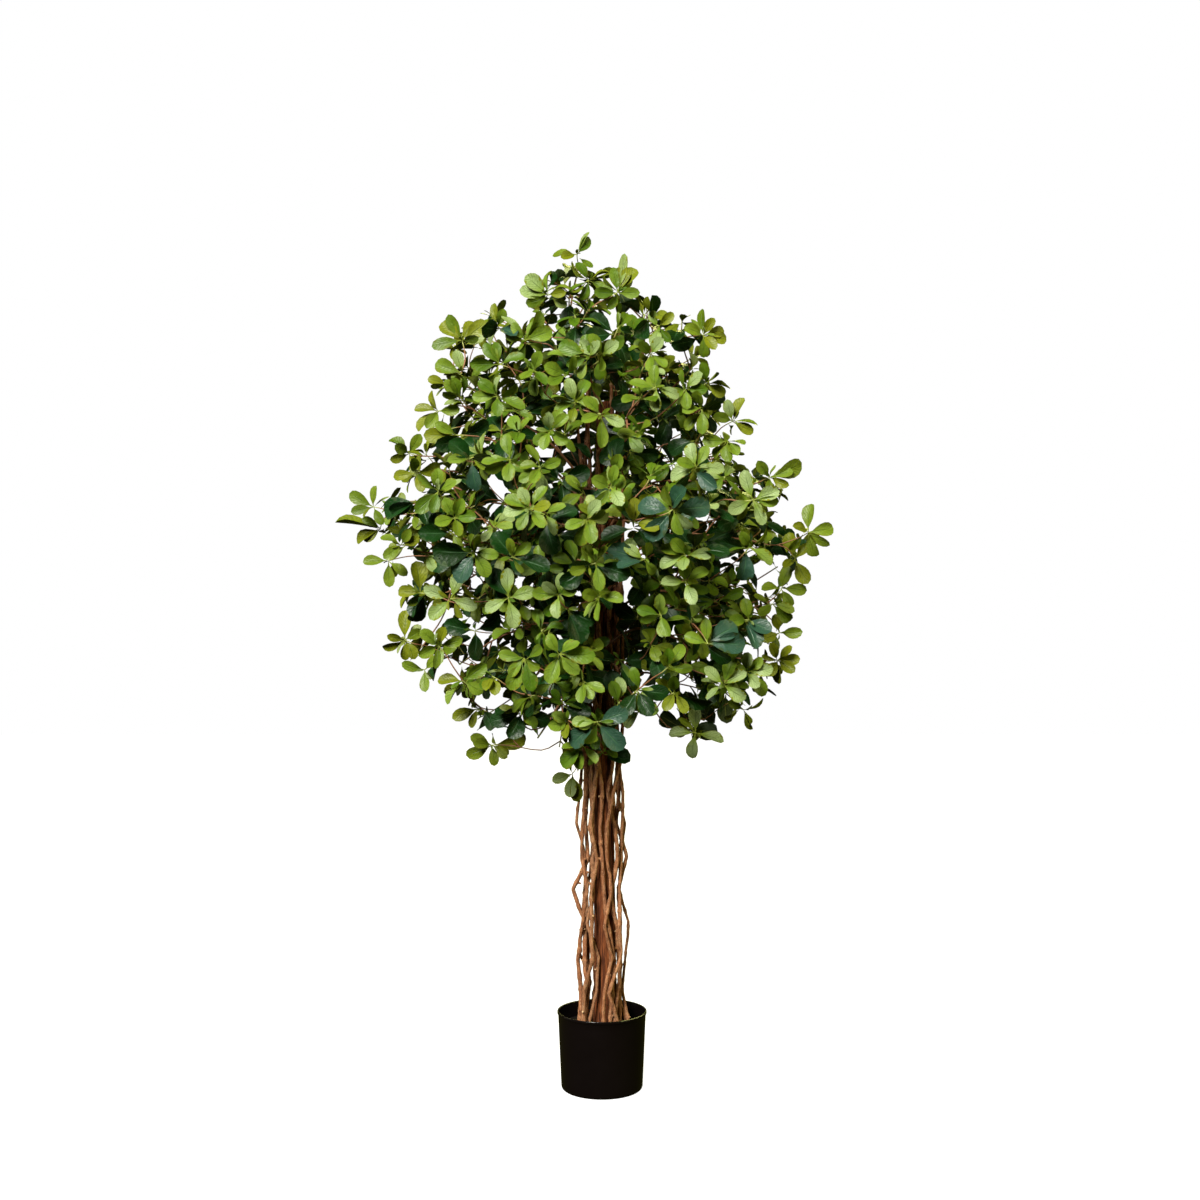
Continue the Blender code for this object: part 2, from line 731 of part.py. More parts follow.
def grow_twigs(mains, space):
    """Side twigs, dealt out in turns so that each branch fills the room that is left round it."""
    tips = [points[-1] for points, _ in mains]
    twigs = [[] for _ in mains]
    for turn in range(TWIGS_EACH):
        for index, main in enumerate(mains):
            owner = STICK_COUNT + 1 + index
            twig = best_twig(main, owner, space, tips, random.Random(TWIG_SEED + index * TWIG_TRIES + turn))
            if twig:
                space.add(sampled(*twig), owner)
                tips.append(twig[0][-1])
                twigs[index].append(twig)
    return twigs


# Leafy branches


def leaf_directions(axis, outward, attempt, rng):
    """Where a leaf points and where its upper face looks, on the side of a twig that faces outward."""
    swing = rng.uniform(-1, 1) * (LEAF_SWING[0] + LEAF_SWING[1] * attempt)
    spread = rng.uniform(*LEAF_SPREADS)
    side = Matrix.Rotation(swing, 3, axis) @ outward
    along = (axis * math.cos(spread) + side * math.sin(spread)).normalized()
    flat = (axis - along * axis.dot(along)).normalized()
    return along, Matrix.Rotation(rng.uniform(-LEAF_ROLL, LEAF_ROLL), 3, along) @ flat


def grow_leaf(shape, root, axis, guards, rng):
    """Draws a leaf out of one side of a twig's end, in the first direction tried that is clear."""
    middle = root.calc_center_median()
    outward = root.normal - axis * axis.dot(root.normal)
    lengths = LARGE_LEAF_LENGTHS if rng.random() < LARGE_LEAF_SHARE else LEAF_LENGTHS
    length = rng.uniform(*lengths)
    for attempt in range(LEAF_TRIES):
        along, up = leaf_directions(axis, outward.normalized(), attempt, rng)
        stations = blade_stations(middle, along, up, length, LEAF_CURL * rng.uniform(*CURL_SHARES))
        guard = blade_guard(middle, stations)
        if is_clear(*guard, guards):
            guards.append(guard)
            pull_blade(shape, root, stations)
            return


def leafy_wire(name, route, sides, guards, rng, group, material=None):
    """A twig with a whorl of leaves at its end, one from each of its sides, all one skin."""
    points, radii = route
    axis = (points[-1] - points[-2]).normalized()
    shape, end = tube_shape(points[:-1] + [points[-1] - axis * WHORL_BAND, points[-1]],
                            radii[:-1] + [radii[-1], radii[-1]], sides)
    shape.normal_update()
    for root in [face for edge in end.edges for face in edge.link_faces if face is not end]:
        grow_leaf(shape, root, axis, guards, rng)
    return closed_object(name, shape, group, material)


def build_branches(group, sticks, mains, twigs):
    """Every branch, with its side twigs joined on and its leaves drawn out of the twigs' ends."""
    material = make_material("branch")
    wires = sticks + [trunk_route()] + mains + [twig for branch_twigs in twigs for twig in branch_twigs]
    guards = [wire_guard(points, radii) for points, radii in wires]
    for index, (main, branch_twigs) in enumerate(zip(mains, twigs)):
        rng = random.Random(LEAF_SEED + index)
        name = f"branch_{index + 1:02d}"
        branch = leafy_wire(name, main, MAIN_SIDES, guards, rng, group, material)
        spray = new_collection(f"spray_{index + 1:02d}")
        for number, twig in enumerate(branch_twigs):
            leafy_wire(f"{name}_twig_{number + 1}", twig, TWIG_SIDES, guards, rng, spray)
        combine(branch, spray, "UNION", "MANIFOLD")
    print("leaves:", len(guards) - len(wires))


def main():
    clear_scene()
    group = new_collection("potted_banyan_tree")
    space = Space()
    sticks = stick_routes()
    for index, route in enumerate(sticks):
        space.add(sampled(*route), index)
    mains = grow_mains(space)
    space.add(sampled(*trunk_route()), STICK_COUNT)
    twigs = grow_twigs(mains, space)
    build_pot(group)
    build_fill(group, sticks)
    build_trunk(group, mains)
    build_sticks(group, sticks)
    build_branches(group, sticks, mains, twigs)


main()
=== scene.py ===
import math
import random

import bmesh
import bpy
import numpy as np
from mathutils import Matrix, Vector


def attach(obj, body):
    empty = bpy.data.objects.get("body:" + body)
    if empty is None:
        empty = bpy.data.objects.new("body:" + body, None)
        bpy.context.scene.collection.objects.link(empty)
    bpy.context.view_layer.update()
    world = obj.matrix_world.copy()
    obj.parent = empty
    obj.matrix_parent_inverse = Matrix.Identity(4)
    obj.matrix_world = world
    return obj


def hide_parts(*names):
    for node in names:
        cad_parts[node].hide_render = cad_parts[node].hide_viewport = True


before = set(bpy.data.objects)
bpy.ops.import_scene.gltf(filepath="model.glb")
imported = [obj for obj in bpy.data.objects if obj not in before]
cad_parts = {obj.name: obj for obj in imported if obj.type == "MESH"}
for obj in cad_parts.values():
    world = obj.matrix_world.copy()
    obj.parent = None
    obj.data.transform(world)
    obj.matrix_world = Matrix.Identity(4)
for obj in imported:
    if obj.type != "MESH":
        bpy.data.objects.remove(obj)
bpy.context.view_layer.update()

goldenAngle = math.pi * (3 - math.sqrt(5))
up = Vector((0, 0, 1))
view = {"camera": Vector((-0.0035, -2.69, 0.857)), "lens": 45.9, "sensor": 36.0, "frame": 1200}
focal = view["lens"] / view["sensor"] * view["frame"]  # in the picture's units
keyLamp = Vector((-2.4, -5.0, 4.5))


class Plug:
    # One socket of a node tree. A sum written with it adds its Math nodes
    def __init__(self, tree, socket=None):
        self.tree, self.socket = tree, socket

    def make(self, kind, settings=None, inputs=None, out=0):
        node = self.tree.nodes.new(kind)
        for name, value in (settings or {}).items():
            setattr(node, name, value)
        for key, value in (inputs or {}).items():
            if isinstance(value, Plug):
                self.tree.links.new(value.socket, node.inputs[key])
            else:
                node.inputs[key].default_value = value
        return Plug(self.tree, node.outputs[out])

    def maths(self, operation, *values, clamp=False):
        settings = {"operation": operation, "use_clamp": clamp}
        return self.make("ShaderNodeMath", settings, dict(enumerate((self, *values))))

    def __add__(self, other): return self.maths("ADD", other)
    def __mul__(self, other): return self.maths("MULTIPLY", other)
    def __sub__(self, other): return self.maths("SUBTRACT", other)
    def __truediv__(self, other): return self.maths("DIVIDE", other)
    def __rsub__(self, other): return self * -1 + other
    __radd__, __rmul__ = __add__, __mul__

    def between(self, low, high):  # 0 below low, 1 above high, smooth in between
        settings = {"interpolation_type": "SMOOTHSTEP"}
        return self.make("ShaderNodeMapRange", settings, {0: self, 1: low, 2: high})

    def mixed(self, first, second):  # colours, by this share
        colours = {6: asColour(first), 7: asColour(second)}
        return self.make("ShaderNodeMix", {"data_type": "RGBA"}, {0: self, **colours}, 2)

    def vector(self, operation, *values, out=0):
        inputs = dict(enumerate((self, *values)))
        return self.make("ShaderNodeVectorMath", {"operation": operation}, inputs, out)


def asColour(value):
    return value if isinstance(value, Plug) else (*value, 1)


def newFinish(name):
    material = bpy.data.materials.new(name)
    material.use_nodes = True
    tree = material.node_tree
    shader = tree.nodes["Principled BSDF"]
    return material, Plug(tree), shader


def feed(shader, **values):  # links or values for a shader's sockets, named without their spaces
    for socket in shader.inputs:
        value = values.get(socket.name.replace(" ", ""))
        if isinstance(value, Plug):
            value.tree.links.new(value.socket, socket)
        elif value is not None:
            socket.default_value = value


def attribute(plug, name):
    return plug.make("ShaderNodeAttribute", {"attribute_name": name}, out="Fac")


def noise(plug, vector, scale, detail=2.0, roughness=0.5):
    return plug.make("ShaderNodeTexNoise", None,
                     {"Vector": vector, "Scale": scale, "Detail": detail, "Roughness": roughness}, "Fac")


def bump(plug, height, strength, distance):
    return plug.make("ShaderNodeBump", None, {"Height": height, "Strength": strength, "Distance": distance})


# The trunk, the sticks, the main twigs and the side twigs grow by the same rules and seeds as the solids

trunk = {
    "foot": 0.030, "top": 1.205, "radii": (0.0205, 0.0135), "shift": 0.003, "wander": 0.0025,
    "waves": (7.0, 5.0),
}
sticks = {
    "count": 16, "seed": 11, "foot": 0.050, "firstLevel": 0.119, "steps": (0.0575, 0.115), "levels": (12, 4),
    "radii": (0.0025, 0.0041), "innerRing": 0.0262, "outerRing": 0.0340,
    "ringSpread": (-0.002, 0.006), "footSpread": 0.14, "footSpreadLevels": 3, "lean": (0.4, 1.9),
    "leanCentre": 0.45, "kink": 0.19, "knots": (0.88, 0.95, 1.08), "ends": (0.10, 0.25), "sweeps": 240,
    "leanAllowance": 1.12, "passGap": 0.0016,
    "knees": {(180, 4): 0.0500, (180, 6): 0.0440, (0, 3): 0.0460, (0, 5): 0.0420},
}
crown = {
    "heights": (0.55, 0.59, 0.64, 0.70, 0.76, 0.86, 0.97, 1.03, 1.10, 1.20, 1.33, 1.37, 1.42, 1.515),
    "left": (0.12, 0.225, 0.25, 0.30, 0.36, 0.35, 0.42, 0.42, 0.37, 0.32, 0.285, 0.21, 0.13, 0.03),
    "right": (0.06, 0.16, 0.25, 0.30, 0.33, 0.32, 0.395, 0.365, 0.28, 0.25, 0.20, 0.17, 0.07, 0.01),
    "lowestTip": 0.57, "rise": (0.15, 1.1, 0.95, 0.5),
}
mainTwigs = {
    "count": 32, "seed": 300, "firstAzimuth": math.radians(225), "roots": (0.665, 1.185), "scatter": 0.03,
    "elevations": (math.radians(20), math.radians(40)), "topLift": math.radians(25), "socket": 0.008,
    "bundle": 0.052, "reach": (1.00, 1.10), "tipSwing": 0.12,
    "arrivals": (math.radians(-25), math.radians(60)), "radii": (0.0026, 0.0014), "points": 4,
    "sway": 0.006, "pulls": (0.4, 0.3), "tries": 400, "swing": (0.15, 0.005),
}
sideTwigs = {
    "seed": 700, "each": 3, "radii": (0.0011, 0.0015, 0.0012), "lengths": (0.070, 0.135),
    "starts": (0.34, 0.90), "fork": math.radians(57), "elbow": 0.45, "bow": 0.5, "rise": (-0.25, 0.35),
    "tries": 26, "tipRoom": 0.030, "clearance": 0.006, "slack": 1.08,
}


def trunkMiddle(height):
    sideways, back = trunk["waves"]
    return Vector((trunk["shift"] + trunk["wander"] * math.sin(height * sideways),
                   trunk["wander"] * (math.cos(height * back) - 1), height))


def trunkRadius(height):
    share = (height - trunk["foot"]) / (trunk["top"] - trunk["foot"])
    return trunk["radii"][0] + (trunk["radii"][1] - trunk["radii"][0]) * share


def trunkRoute(rings=8):
    heights = [trunk["foot"]] + list(np.linspace(sticks["firstLevel"], trunk["top"], rings - 1))
    points = [trunkMiddle(height) for height in heights]
    points[0].xy = points[1].xy
    return points, [trunkRadius(height) for height in heights]


def pushApart(first, second, needed, firstShare):
    start = first[:-1] - second[:-1]
    change = (first[1:] - second[1:]) - start
    length = np.maximum((change * change).sum(axis=1), 1e-12)
    share = np.clip(-(start * change).sum(axis=1) / length, 0.0, 1.0)
    offset = start + change * share[:, None]
    distance = np.maximum(np.linalg.norm(offset, axis=1), 1e-9)
    short = np.maximum(needed - distance, 0.0)
    push = offset / distance[:, None] * (short / ((1 - share) ** 2 + share ** 2))[:, None]
    for target, part in ((first, firstShare), (second, firstShare - 1.0)):
        target[:-1] += push * ((1 - share) * part)[:, None]
        target[1:] += push * (share * part)[:, None]


def stickHeights():
    low, high = sticks["levels"]
    heights = [sticks["firstLevel"] + sticks["steps"][0] * n for n in range(low)]
    return np.array(heights + [heights[-1] + sticks["steps"][1] * (n + 1) for n in range(high)])


def weaveSticks():
    rng = random.Random(sticks["seed"])
    heights = stickHeights()
    spots, radii = [], []
    for index in range(sticks["count"]):
        outer = index % 2
        start = math.tau * index / sticks["count"]
        lean = (1 if outer else -1) * rng.uniform(*sticks["lean"])
        ring = sticks["outerRing"] if outer else sticks["innerRing"]
        walk = []
        for level, height in enumerate(heights):
            angle = start + lean * (height - sticks["leanCentre"]) + rng.gauss(0.0, sticks["kink"])
            widening = 1 + sticks["footSpread"] * max(1 - level / sticks["footSpreadLevels"], 0)
            distance = ring * widening + rng.uniform(*sticks["ringSpread"])
            walk.append((distance * math.cos(angle), distance * math.sin(angle)))
        spots.append(np.array(walk))
        radii.append(rng.uniform(*sticks["radii"]))
    for (side, level), distance in sticks["knees"].items():
        goal = math.radians(side)
        angles = [math.atan2(spot[level][1], spot[level][0]) for spot in spots]
        turns = [abs(math.remainder(angle - goal, math.tau)) for angle in angles]
        spots[turns.index(min(turns))][level] = (distance * math.cos(goal), distance * math.sin(goal))
    core = np.array([trunkMiddle(height).xy[:] for height in heights])
    coreRadii = np.array([trunkRadius(height) for height in heights[:-1]])
    allowance, gap = sticks["leanAllowance"], sticks["passGap"]
    for _ in range(sticks["sweeps"]):
        for first in range(sticks["count"]):
            wide = radii[first] * allowance + gap
            pushApart(spots[first], core.copy(), coreRadii + wide, 1.0)
            for second in range(first):
                pushApart(spots[first], spots[second], wide + radii[second] * allowance, 0.5)
    return heights, spots, radii


def stickRoutes():
    heights, spots, thickness = weaveSticks()
    rng = random.Random(sticks["seed"] + 1)
    routes = []
    for spot, radius in zip(spots, thickness):
        levels = len(heights) if rng.random() < 0.5 else len(heights) - rng.randint(1, 3)
        points = [Vector((*spot[0], sticks["foot"]))]
        points += [Vector((*spot[n], heights[n])) for n in range(levels)]
        points.append(points[-1] + (points[-1] - points[-2]) * rng.uniform(*sticks["ends"]))
        radii = [radius, radius] + [radius * rng.choice(sticks["knots"]) for _ in range(levels - 1)]
        routes.append((points, radii + [radius * 0.85]))
    return routes


def sampled(points, radii, step=0.004):
    rows = []
    for n in range(len(points) - 1):
        count = max(int((points[n + 1] - points[n]).length / step), 1)
        for m in range(count + (n == len(points) - 2)):
            share = m / count
            rows.append((*points[n].lerp(points[n + 1], share), radii[n] + (radii[n + 1] - radii[n]) * share))
    return np.array(rows)


class Space:
    # What has grown so far, so that new wires keep clear of it
    reach = 0.03

    def __init__(self):
        self.rows = np.zeros((0, 4))
        self.owners = np.zeros(0, dtype=int)

    def add(self, rows, owner):
        self.rows = np.vstack((self.rows, rows))
        self.owners = np.append(self.owners, np.full(len(rows), owner))

    def clearance(self, rows, owner):
        low = rows[:, :3].min(axis=0) - self.reach
        high = rows[:, :3].max(axis=0) + self.reach
        inside = ((self.rows[:, :3] > low) & (self.rows[:, :3] < high)).all(axis=1)
        others = self.rows[inside & (self.owners != owner)]
        if not len(others):
            return self.reach
        away = np.linalg.norm(rows[:, None, :3] - others[None, :, :3], axis=2)
        return float((away - rows[:, None, 3] - others[None, :, 3]).min())


def around(azimuth, elevation):
    level = math.cos(elevation)
    return Vector((math.cos(azimuth) * level, math.sin(azimuth) * level, math.sin(elevation)))


def crownReach(height, azimuth):
    left = float(np.interp(height, crown["heights"], crown["left"]))
    right = float(np.interp(height, crown["heights"], crown["right"]))
    return (left + right) / 2 + (right - left) / 2 * math.cos(azimuth)


def insideCrown(point):
    if not crown["heights"][0] < point.z < crown["heights"][-1]:
        return False
    reach = crownReach(point.z, math.atan2(point.y, point.x))
    return math.hypot(point.x, point.y) < reach * sideTwigs["slack"]


def tipHeights():
    heights = np.linspace(crown["lowestTip"], crown["heights"][-1], 200)
    reach = np.array([crownReach(height, math.pi / 2) for height in heights])
    area = np.cumsum(reach * np.hypot(1.0, np.gradient(reach, heights)))
    return np.interp(np.linspace(0.012, 0.997, mainTwigs["count"]) * area[-1], area, heights)


def bowedRoute(start, lead, tip, arrival, rng):
    length = (tip - start).length
    first = start + lead * length * mainTwigs["pulls"][0]
    last = tip - arrival * length * mainTwigs["pulls"][1]
    points = []
    for n in range(1, mainTwigs["points"] + 1):
        t = n / mainTwigs["points"]
        outer = start * (1 - t) ** 3 + tip * t ** 3
        point = outer + (first * (1 - t) + last * t) * (3 * t * (1 - t))
        if n < mainTwigs["points"]:
            point += Vector([rng.uniform(-mainTwigs["sway"], mainTwigs["sway"]) for _ in range(3)])
        points.append(point)
    return points


def mainTwig(height, rise, wanted, swing, rng):
    azimuth = wanted + rng.uniform(-swing, swing)
    elevation = rng.uniform(*mainTwigs["elevations"]) + mainTwigs["topLift"] * rise
    low, high = mainTwigs["roots"]
    rootHeight = low + (high - low) * rise + rng.uniform(-mainTwigs["scatter"], mainTwigs["scatter"])
    rootHeight = min(max(rootHeight, low), high)
    lead = around(azimuth, elevation)
    middle = trunkMiddle(rootHeight)
    root = middle + lead * ((trunkRadius(rootHeight) - mainTwigs["socket"]) / math.cos(elevation))
    outside = middle + lead * (mainTwigs["bundle"] / math.cos(elevation))
    tipAzimuth = wanted + rng.uniform(-mainTwigs["tipSwing"], mainTwigs["tipSwing"])
    reach = crownReach(height, tipAzimuth) * rng.uniform(*mainTwigs["reach"])
    tip = Vector((reach * math.cos(tipAzimuth), reach * math.sin(tipAzimuth), height))
    first, last = mainTwigs["arrivals"]
    arrival = around(tipAzimuth, first + (last - first) * rise)
    points = [root, outside] + bowedRoute(outside, lead, tip, arrival, rng)
    return points, list(np.linspace(*mainTwigs["radii"], len(points)))


def growMains(space):
    mains = []
    low, high = crown["heights"][0], crown["heights"][-1]
    for index, height in enumerate(tipHeights()):
        rng = random.Random(mainTwigs["seed"] + index)
        owner = sticks["count"] + 1 + index
        for attempt in range(mainTwigs["tries"]):
            swing = mainTwigs["swing"][0] + mainTwigs["swing"][1] * attempt
            wanted = mainTwigs["firstAzimuth"] + index * goldenAngle
            route = mainTwig(height, (height - low) / (high - low), wanted, swing, rng)
            rows = sampled(*route)
            if space.clearance(rows, owner) > sticks["passGap"]:
                space.add(rows, owner)
                mains.append(route)
                break
    return mains


def pointOn(points, share):
    lengths = [(after - before).length for before, after in zip(points, points[1:])]
    left = share * sum(lengths)
    for n, length in enumerate(lengths):
        if left <= length:
            return points[n].lerp(points[n + 1], left / length), (points[n + 1] - points[n]).normalized()
        left -= length
    return points[-1], (points[-1] - points[-2]).normalized()


def sideTwig(main, rng):
    start, along = pointOn(main[0], rng.uniform(*sideTwigs["starts"]))
    side = Matrix.Rotation(rng.uniform(0, math.tau), 3, along) @ along.orthogonal().normalized()
    lead = along * math.cos(sideTwigs["fork"]) + side * math.sin(sideTwigs["fork"])
    length = rng.uniform(*sideTwigs["lengths"])
    bow = (lead + along * sideTwigs["bow"] + Vector((0, 0, rng.uniform(*sideTwigs["rise"])))).normalized()
    elbow = start + lead * length * sideTwigs["elbow"]
    return [start, elbow, elbow + bow * length * (1 - sideTwigs["elbow"])], list(sideTwigs["radii"])


def bestTwig(main, owner, space, tips, rng):
    best, bestRoom = None, sideTwigs["tipRoom"]
    for _ in range(sideTwigs["tries"]):
        twig = sideTwig(main, rng)
        tip = twig[0][-1]
        room = min((tip - other).length for other in tips)
        if not insideCrown(tip) or room < bestRoom:
            continue
        own = space.rows[space.owners == owner]
        if np.linalg.norm(own[:, :3] - np.array(tip), axis=1).min() < sideTwigs["tipRoom"]:
            continue
        if space.clearance(sampled(*twig), owner) > sideTwigs["clearance"]:
            best, bestRoom = twig, room
    return best


def growTwigs(mains, space):
    tips = [points[-1] for points, _ in mains]
    twigs = [[] for _ in mains]
    for turn in range(sideTwigs["each"]):
        for index, main in enumerate(mains):
            owner = sticks["count"] + 1 + index
            rng = random.Random(sideTwigs["seed"] + index * sideTwigs["tries"] + turn)
            twig = bestTwig(main, owner, space, tips, rng)
            if twig:
                space.add(sampled(*twig), owner)
                tips.append(twig[0][-1])
                twigs[index].append(twig)
    return twigs


# How far the leaves reach at each height, on the left and on the right of the front view, measured row by row
# in the photo with a scratch script and then changed by hand
outline = {
    "heights": (0.560, 0.600, 0.629, 0.655, 0.681, 0.708, 0.760, 0.813, 0.866, 0.918, 0.971, 0.998, 1.024,
                1.050, 1.103, 1.156, 1.208, 1.261, 1.314, 1.340, 1.367, 1.393, 1.419, 1.446, 1.472, 1.492),
    "left": (0.050, 0.150, 0.200, 0.250, 0.279, 0.325, 0.370, 0.360, 0.360, 0.400, 0.425, 0.435, 0.430,
             0.400, 0.371, 0.330, 0.325, 0.295, 0.295, 0.280, 0.202, 0.155, 0.142, 0.070, 0.061, 0.020),
    "right": (0.030, 0.110, 0.190, 0.245, 0.276, 0.318, 0.344, 0.335, 0.330, 0.353, 0.390, 0.402, 0.380,
              0.353, 0.280, 0.269, 0.240, 0.195, 0.197, 0.190, 0.120, 0.086, 0.063, 0.056, 0.030, 0.010),
}
sprigs = {  # the fine twigs that fill the crown, each with a whorl of leaves at its tip
    "seed": 40, "count": 405, "tries": 60, "highest": 1.425, "reach": 0.20, "margin": 0.030,
    "fullness": ((0.60, 0.72, 0.82, 1.0, 1.4), (0.30, 0.42, 0.95, 1.40, 1.60)),  # heights, and how full there
    "back": (0.74, 1.0), "front": (0.50, 0.90), "inner": (0.30, 0.70), "innerShare": 0.30, "innerCost": 0.8,
    "keepOff": 0.030, "keepOffDepth": 0.02, "keepLit": 0.026, "keepLitFrom": 0.01, "gapRoom": 11,
    "trunkRoom": (0.05, 0.03), "cutFront": 0.82, "frontOf": 0.03, "shortest": 0.45, "turnCost": 1.7,
    "tooNear": 0.02,
    "forksFrom": {"main": 0.30, "side": 0.2, "sprig": 0.3},  # the share of each wire that carries no fork
    "pulls": ((0.36, 0.75, 0.4), (0.70, 1.0, 0.1)),  # share of the way, how straight, how far along its wire
    "sway": 0.05, "steps": 3, "mainSteps": 6, "radii": (0.0012, 0.0008), "sideRadii": (0.0015, 0.0011),
    "stemGreen": 0.012,
}
leaves = {  # counts to choose from, lengths in metres, and angles from the whorl's axis in degrees
    "seed": 77, "light": (3, 4, 4, 5), "lightLengths": (0.034, 0.045), "lightSpread": (40, 88),
    "dark": (2, 3, 3, 4), "darkLengths": (0.050, 0.060), "darkSpread": (66, 104), "darkShare": (0.40, 0.90),
    "young": (1, 2, 2, 3), "youngLengths": (0.014, 0.030), "youngSpread": (8, 36), "youngWidth": (0.20, 0.30),
    "behind": (1, 2, 2), "behindLengths": (0.031, 0.041), "behindSpread": (72, 104), "behindGap": 0.010,
    "width": (0.43, 0.54), "darkWidth": (0.49, 0.59), "lightGap": 0.002, "darkGap": (0.008, 0.018),
    "curl": (0.1, 1.2), "cup": (-0.2, 0.9), "roll": 0.32, "twist": 0.25, "toneSpread": 0.18, "darkTone": 0.45,
    "thickness": 0.0005, "axis": (0.40, 0.50, 0.50), "axisSpread": 0.26, "shell": (0.45, 0.90),
    # More olive towards the crown's left and right: painted light shining through the leaves
    "edge": (0.6, 1.0), "edgeOlive": (0.1, 0.7), "oliveSpread": 0.32, "innerTone": 0.4, "stagger": 0.004,
    "tries": 8, "swing": (0.16, 0.6), "tilt": (8, 0.7), "balls": (0.45, 0.72, 0.98), "gapCost": 0.02,
    "gapRoom": 4, "pastCrown": 0.006, "pastCost": 5,
}
shownLeaves = {  # the freedom of the leaves in the table below
    "axis": (0.6, 0.6, 0.3), "dull": Vector((0.35, 0, -0.3)), "aimSpread": 0.24, "lengths": (0.95, 1.12),
    "turns": (0.85, 1.1), "roll": (0.25, 0.65), "rollHeights": (0.95, 1.20), "curl": (0.1, 0.9),
    "cup": (0.0, 1.0), "twist": 0.15, "toneSpread": 0.08, "darkBehind": 0.010, "stagger": 0.003,
    "edgeOlive": 0.4,
}
kinds = {  # of leaf: tone (random, and partly painted shade and sheen), olive (painted light shining through), deep, shortest, turned from the camera
    "p": (0.95, 0.0, 0.0, 0.040, 0.0),  # pale: its high tone gives it a painted sheen
    "l": (0.55, 0.1, 0.0, 0.038, 0.0),  # light
    "m": (0.10, 0.1, 0.0, 0.038, 0.0),  # mid green: its low tone is painted shade
    "o": (0.50, 0.9, 0.0, 0.036, 0.0),  # olive: painted light shining through the leaf
    "n": (0.40, 0.4, 0.0, 0.036, 1.15),  # narrow, seen from its side
    "y": (0.80, 0.2, 0.0, 0.020, 0.9),  # young
    "d": (0.20, 0.0, 1.0, 0.050, 0.0),  # dark
    "b": (0.80, 0.0, 1.0, 0.052, 0.0),  # dark with a bluish sheen
    "e": (0.20, 0.0, 1.0, 0.050, 1.0),  # dark, seen from its side
}
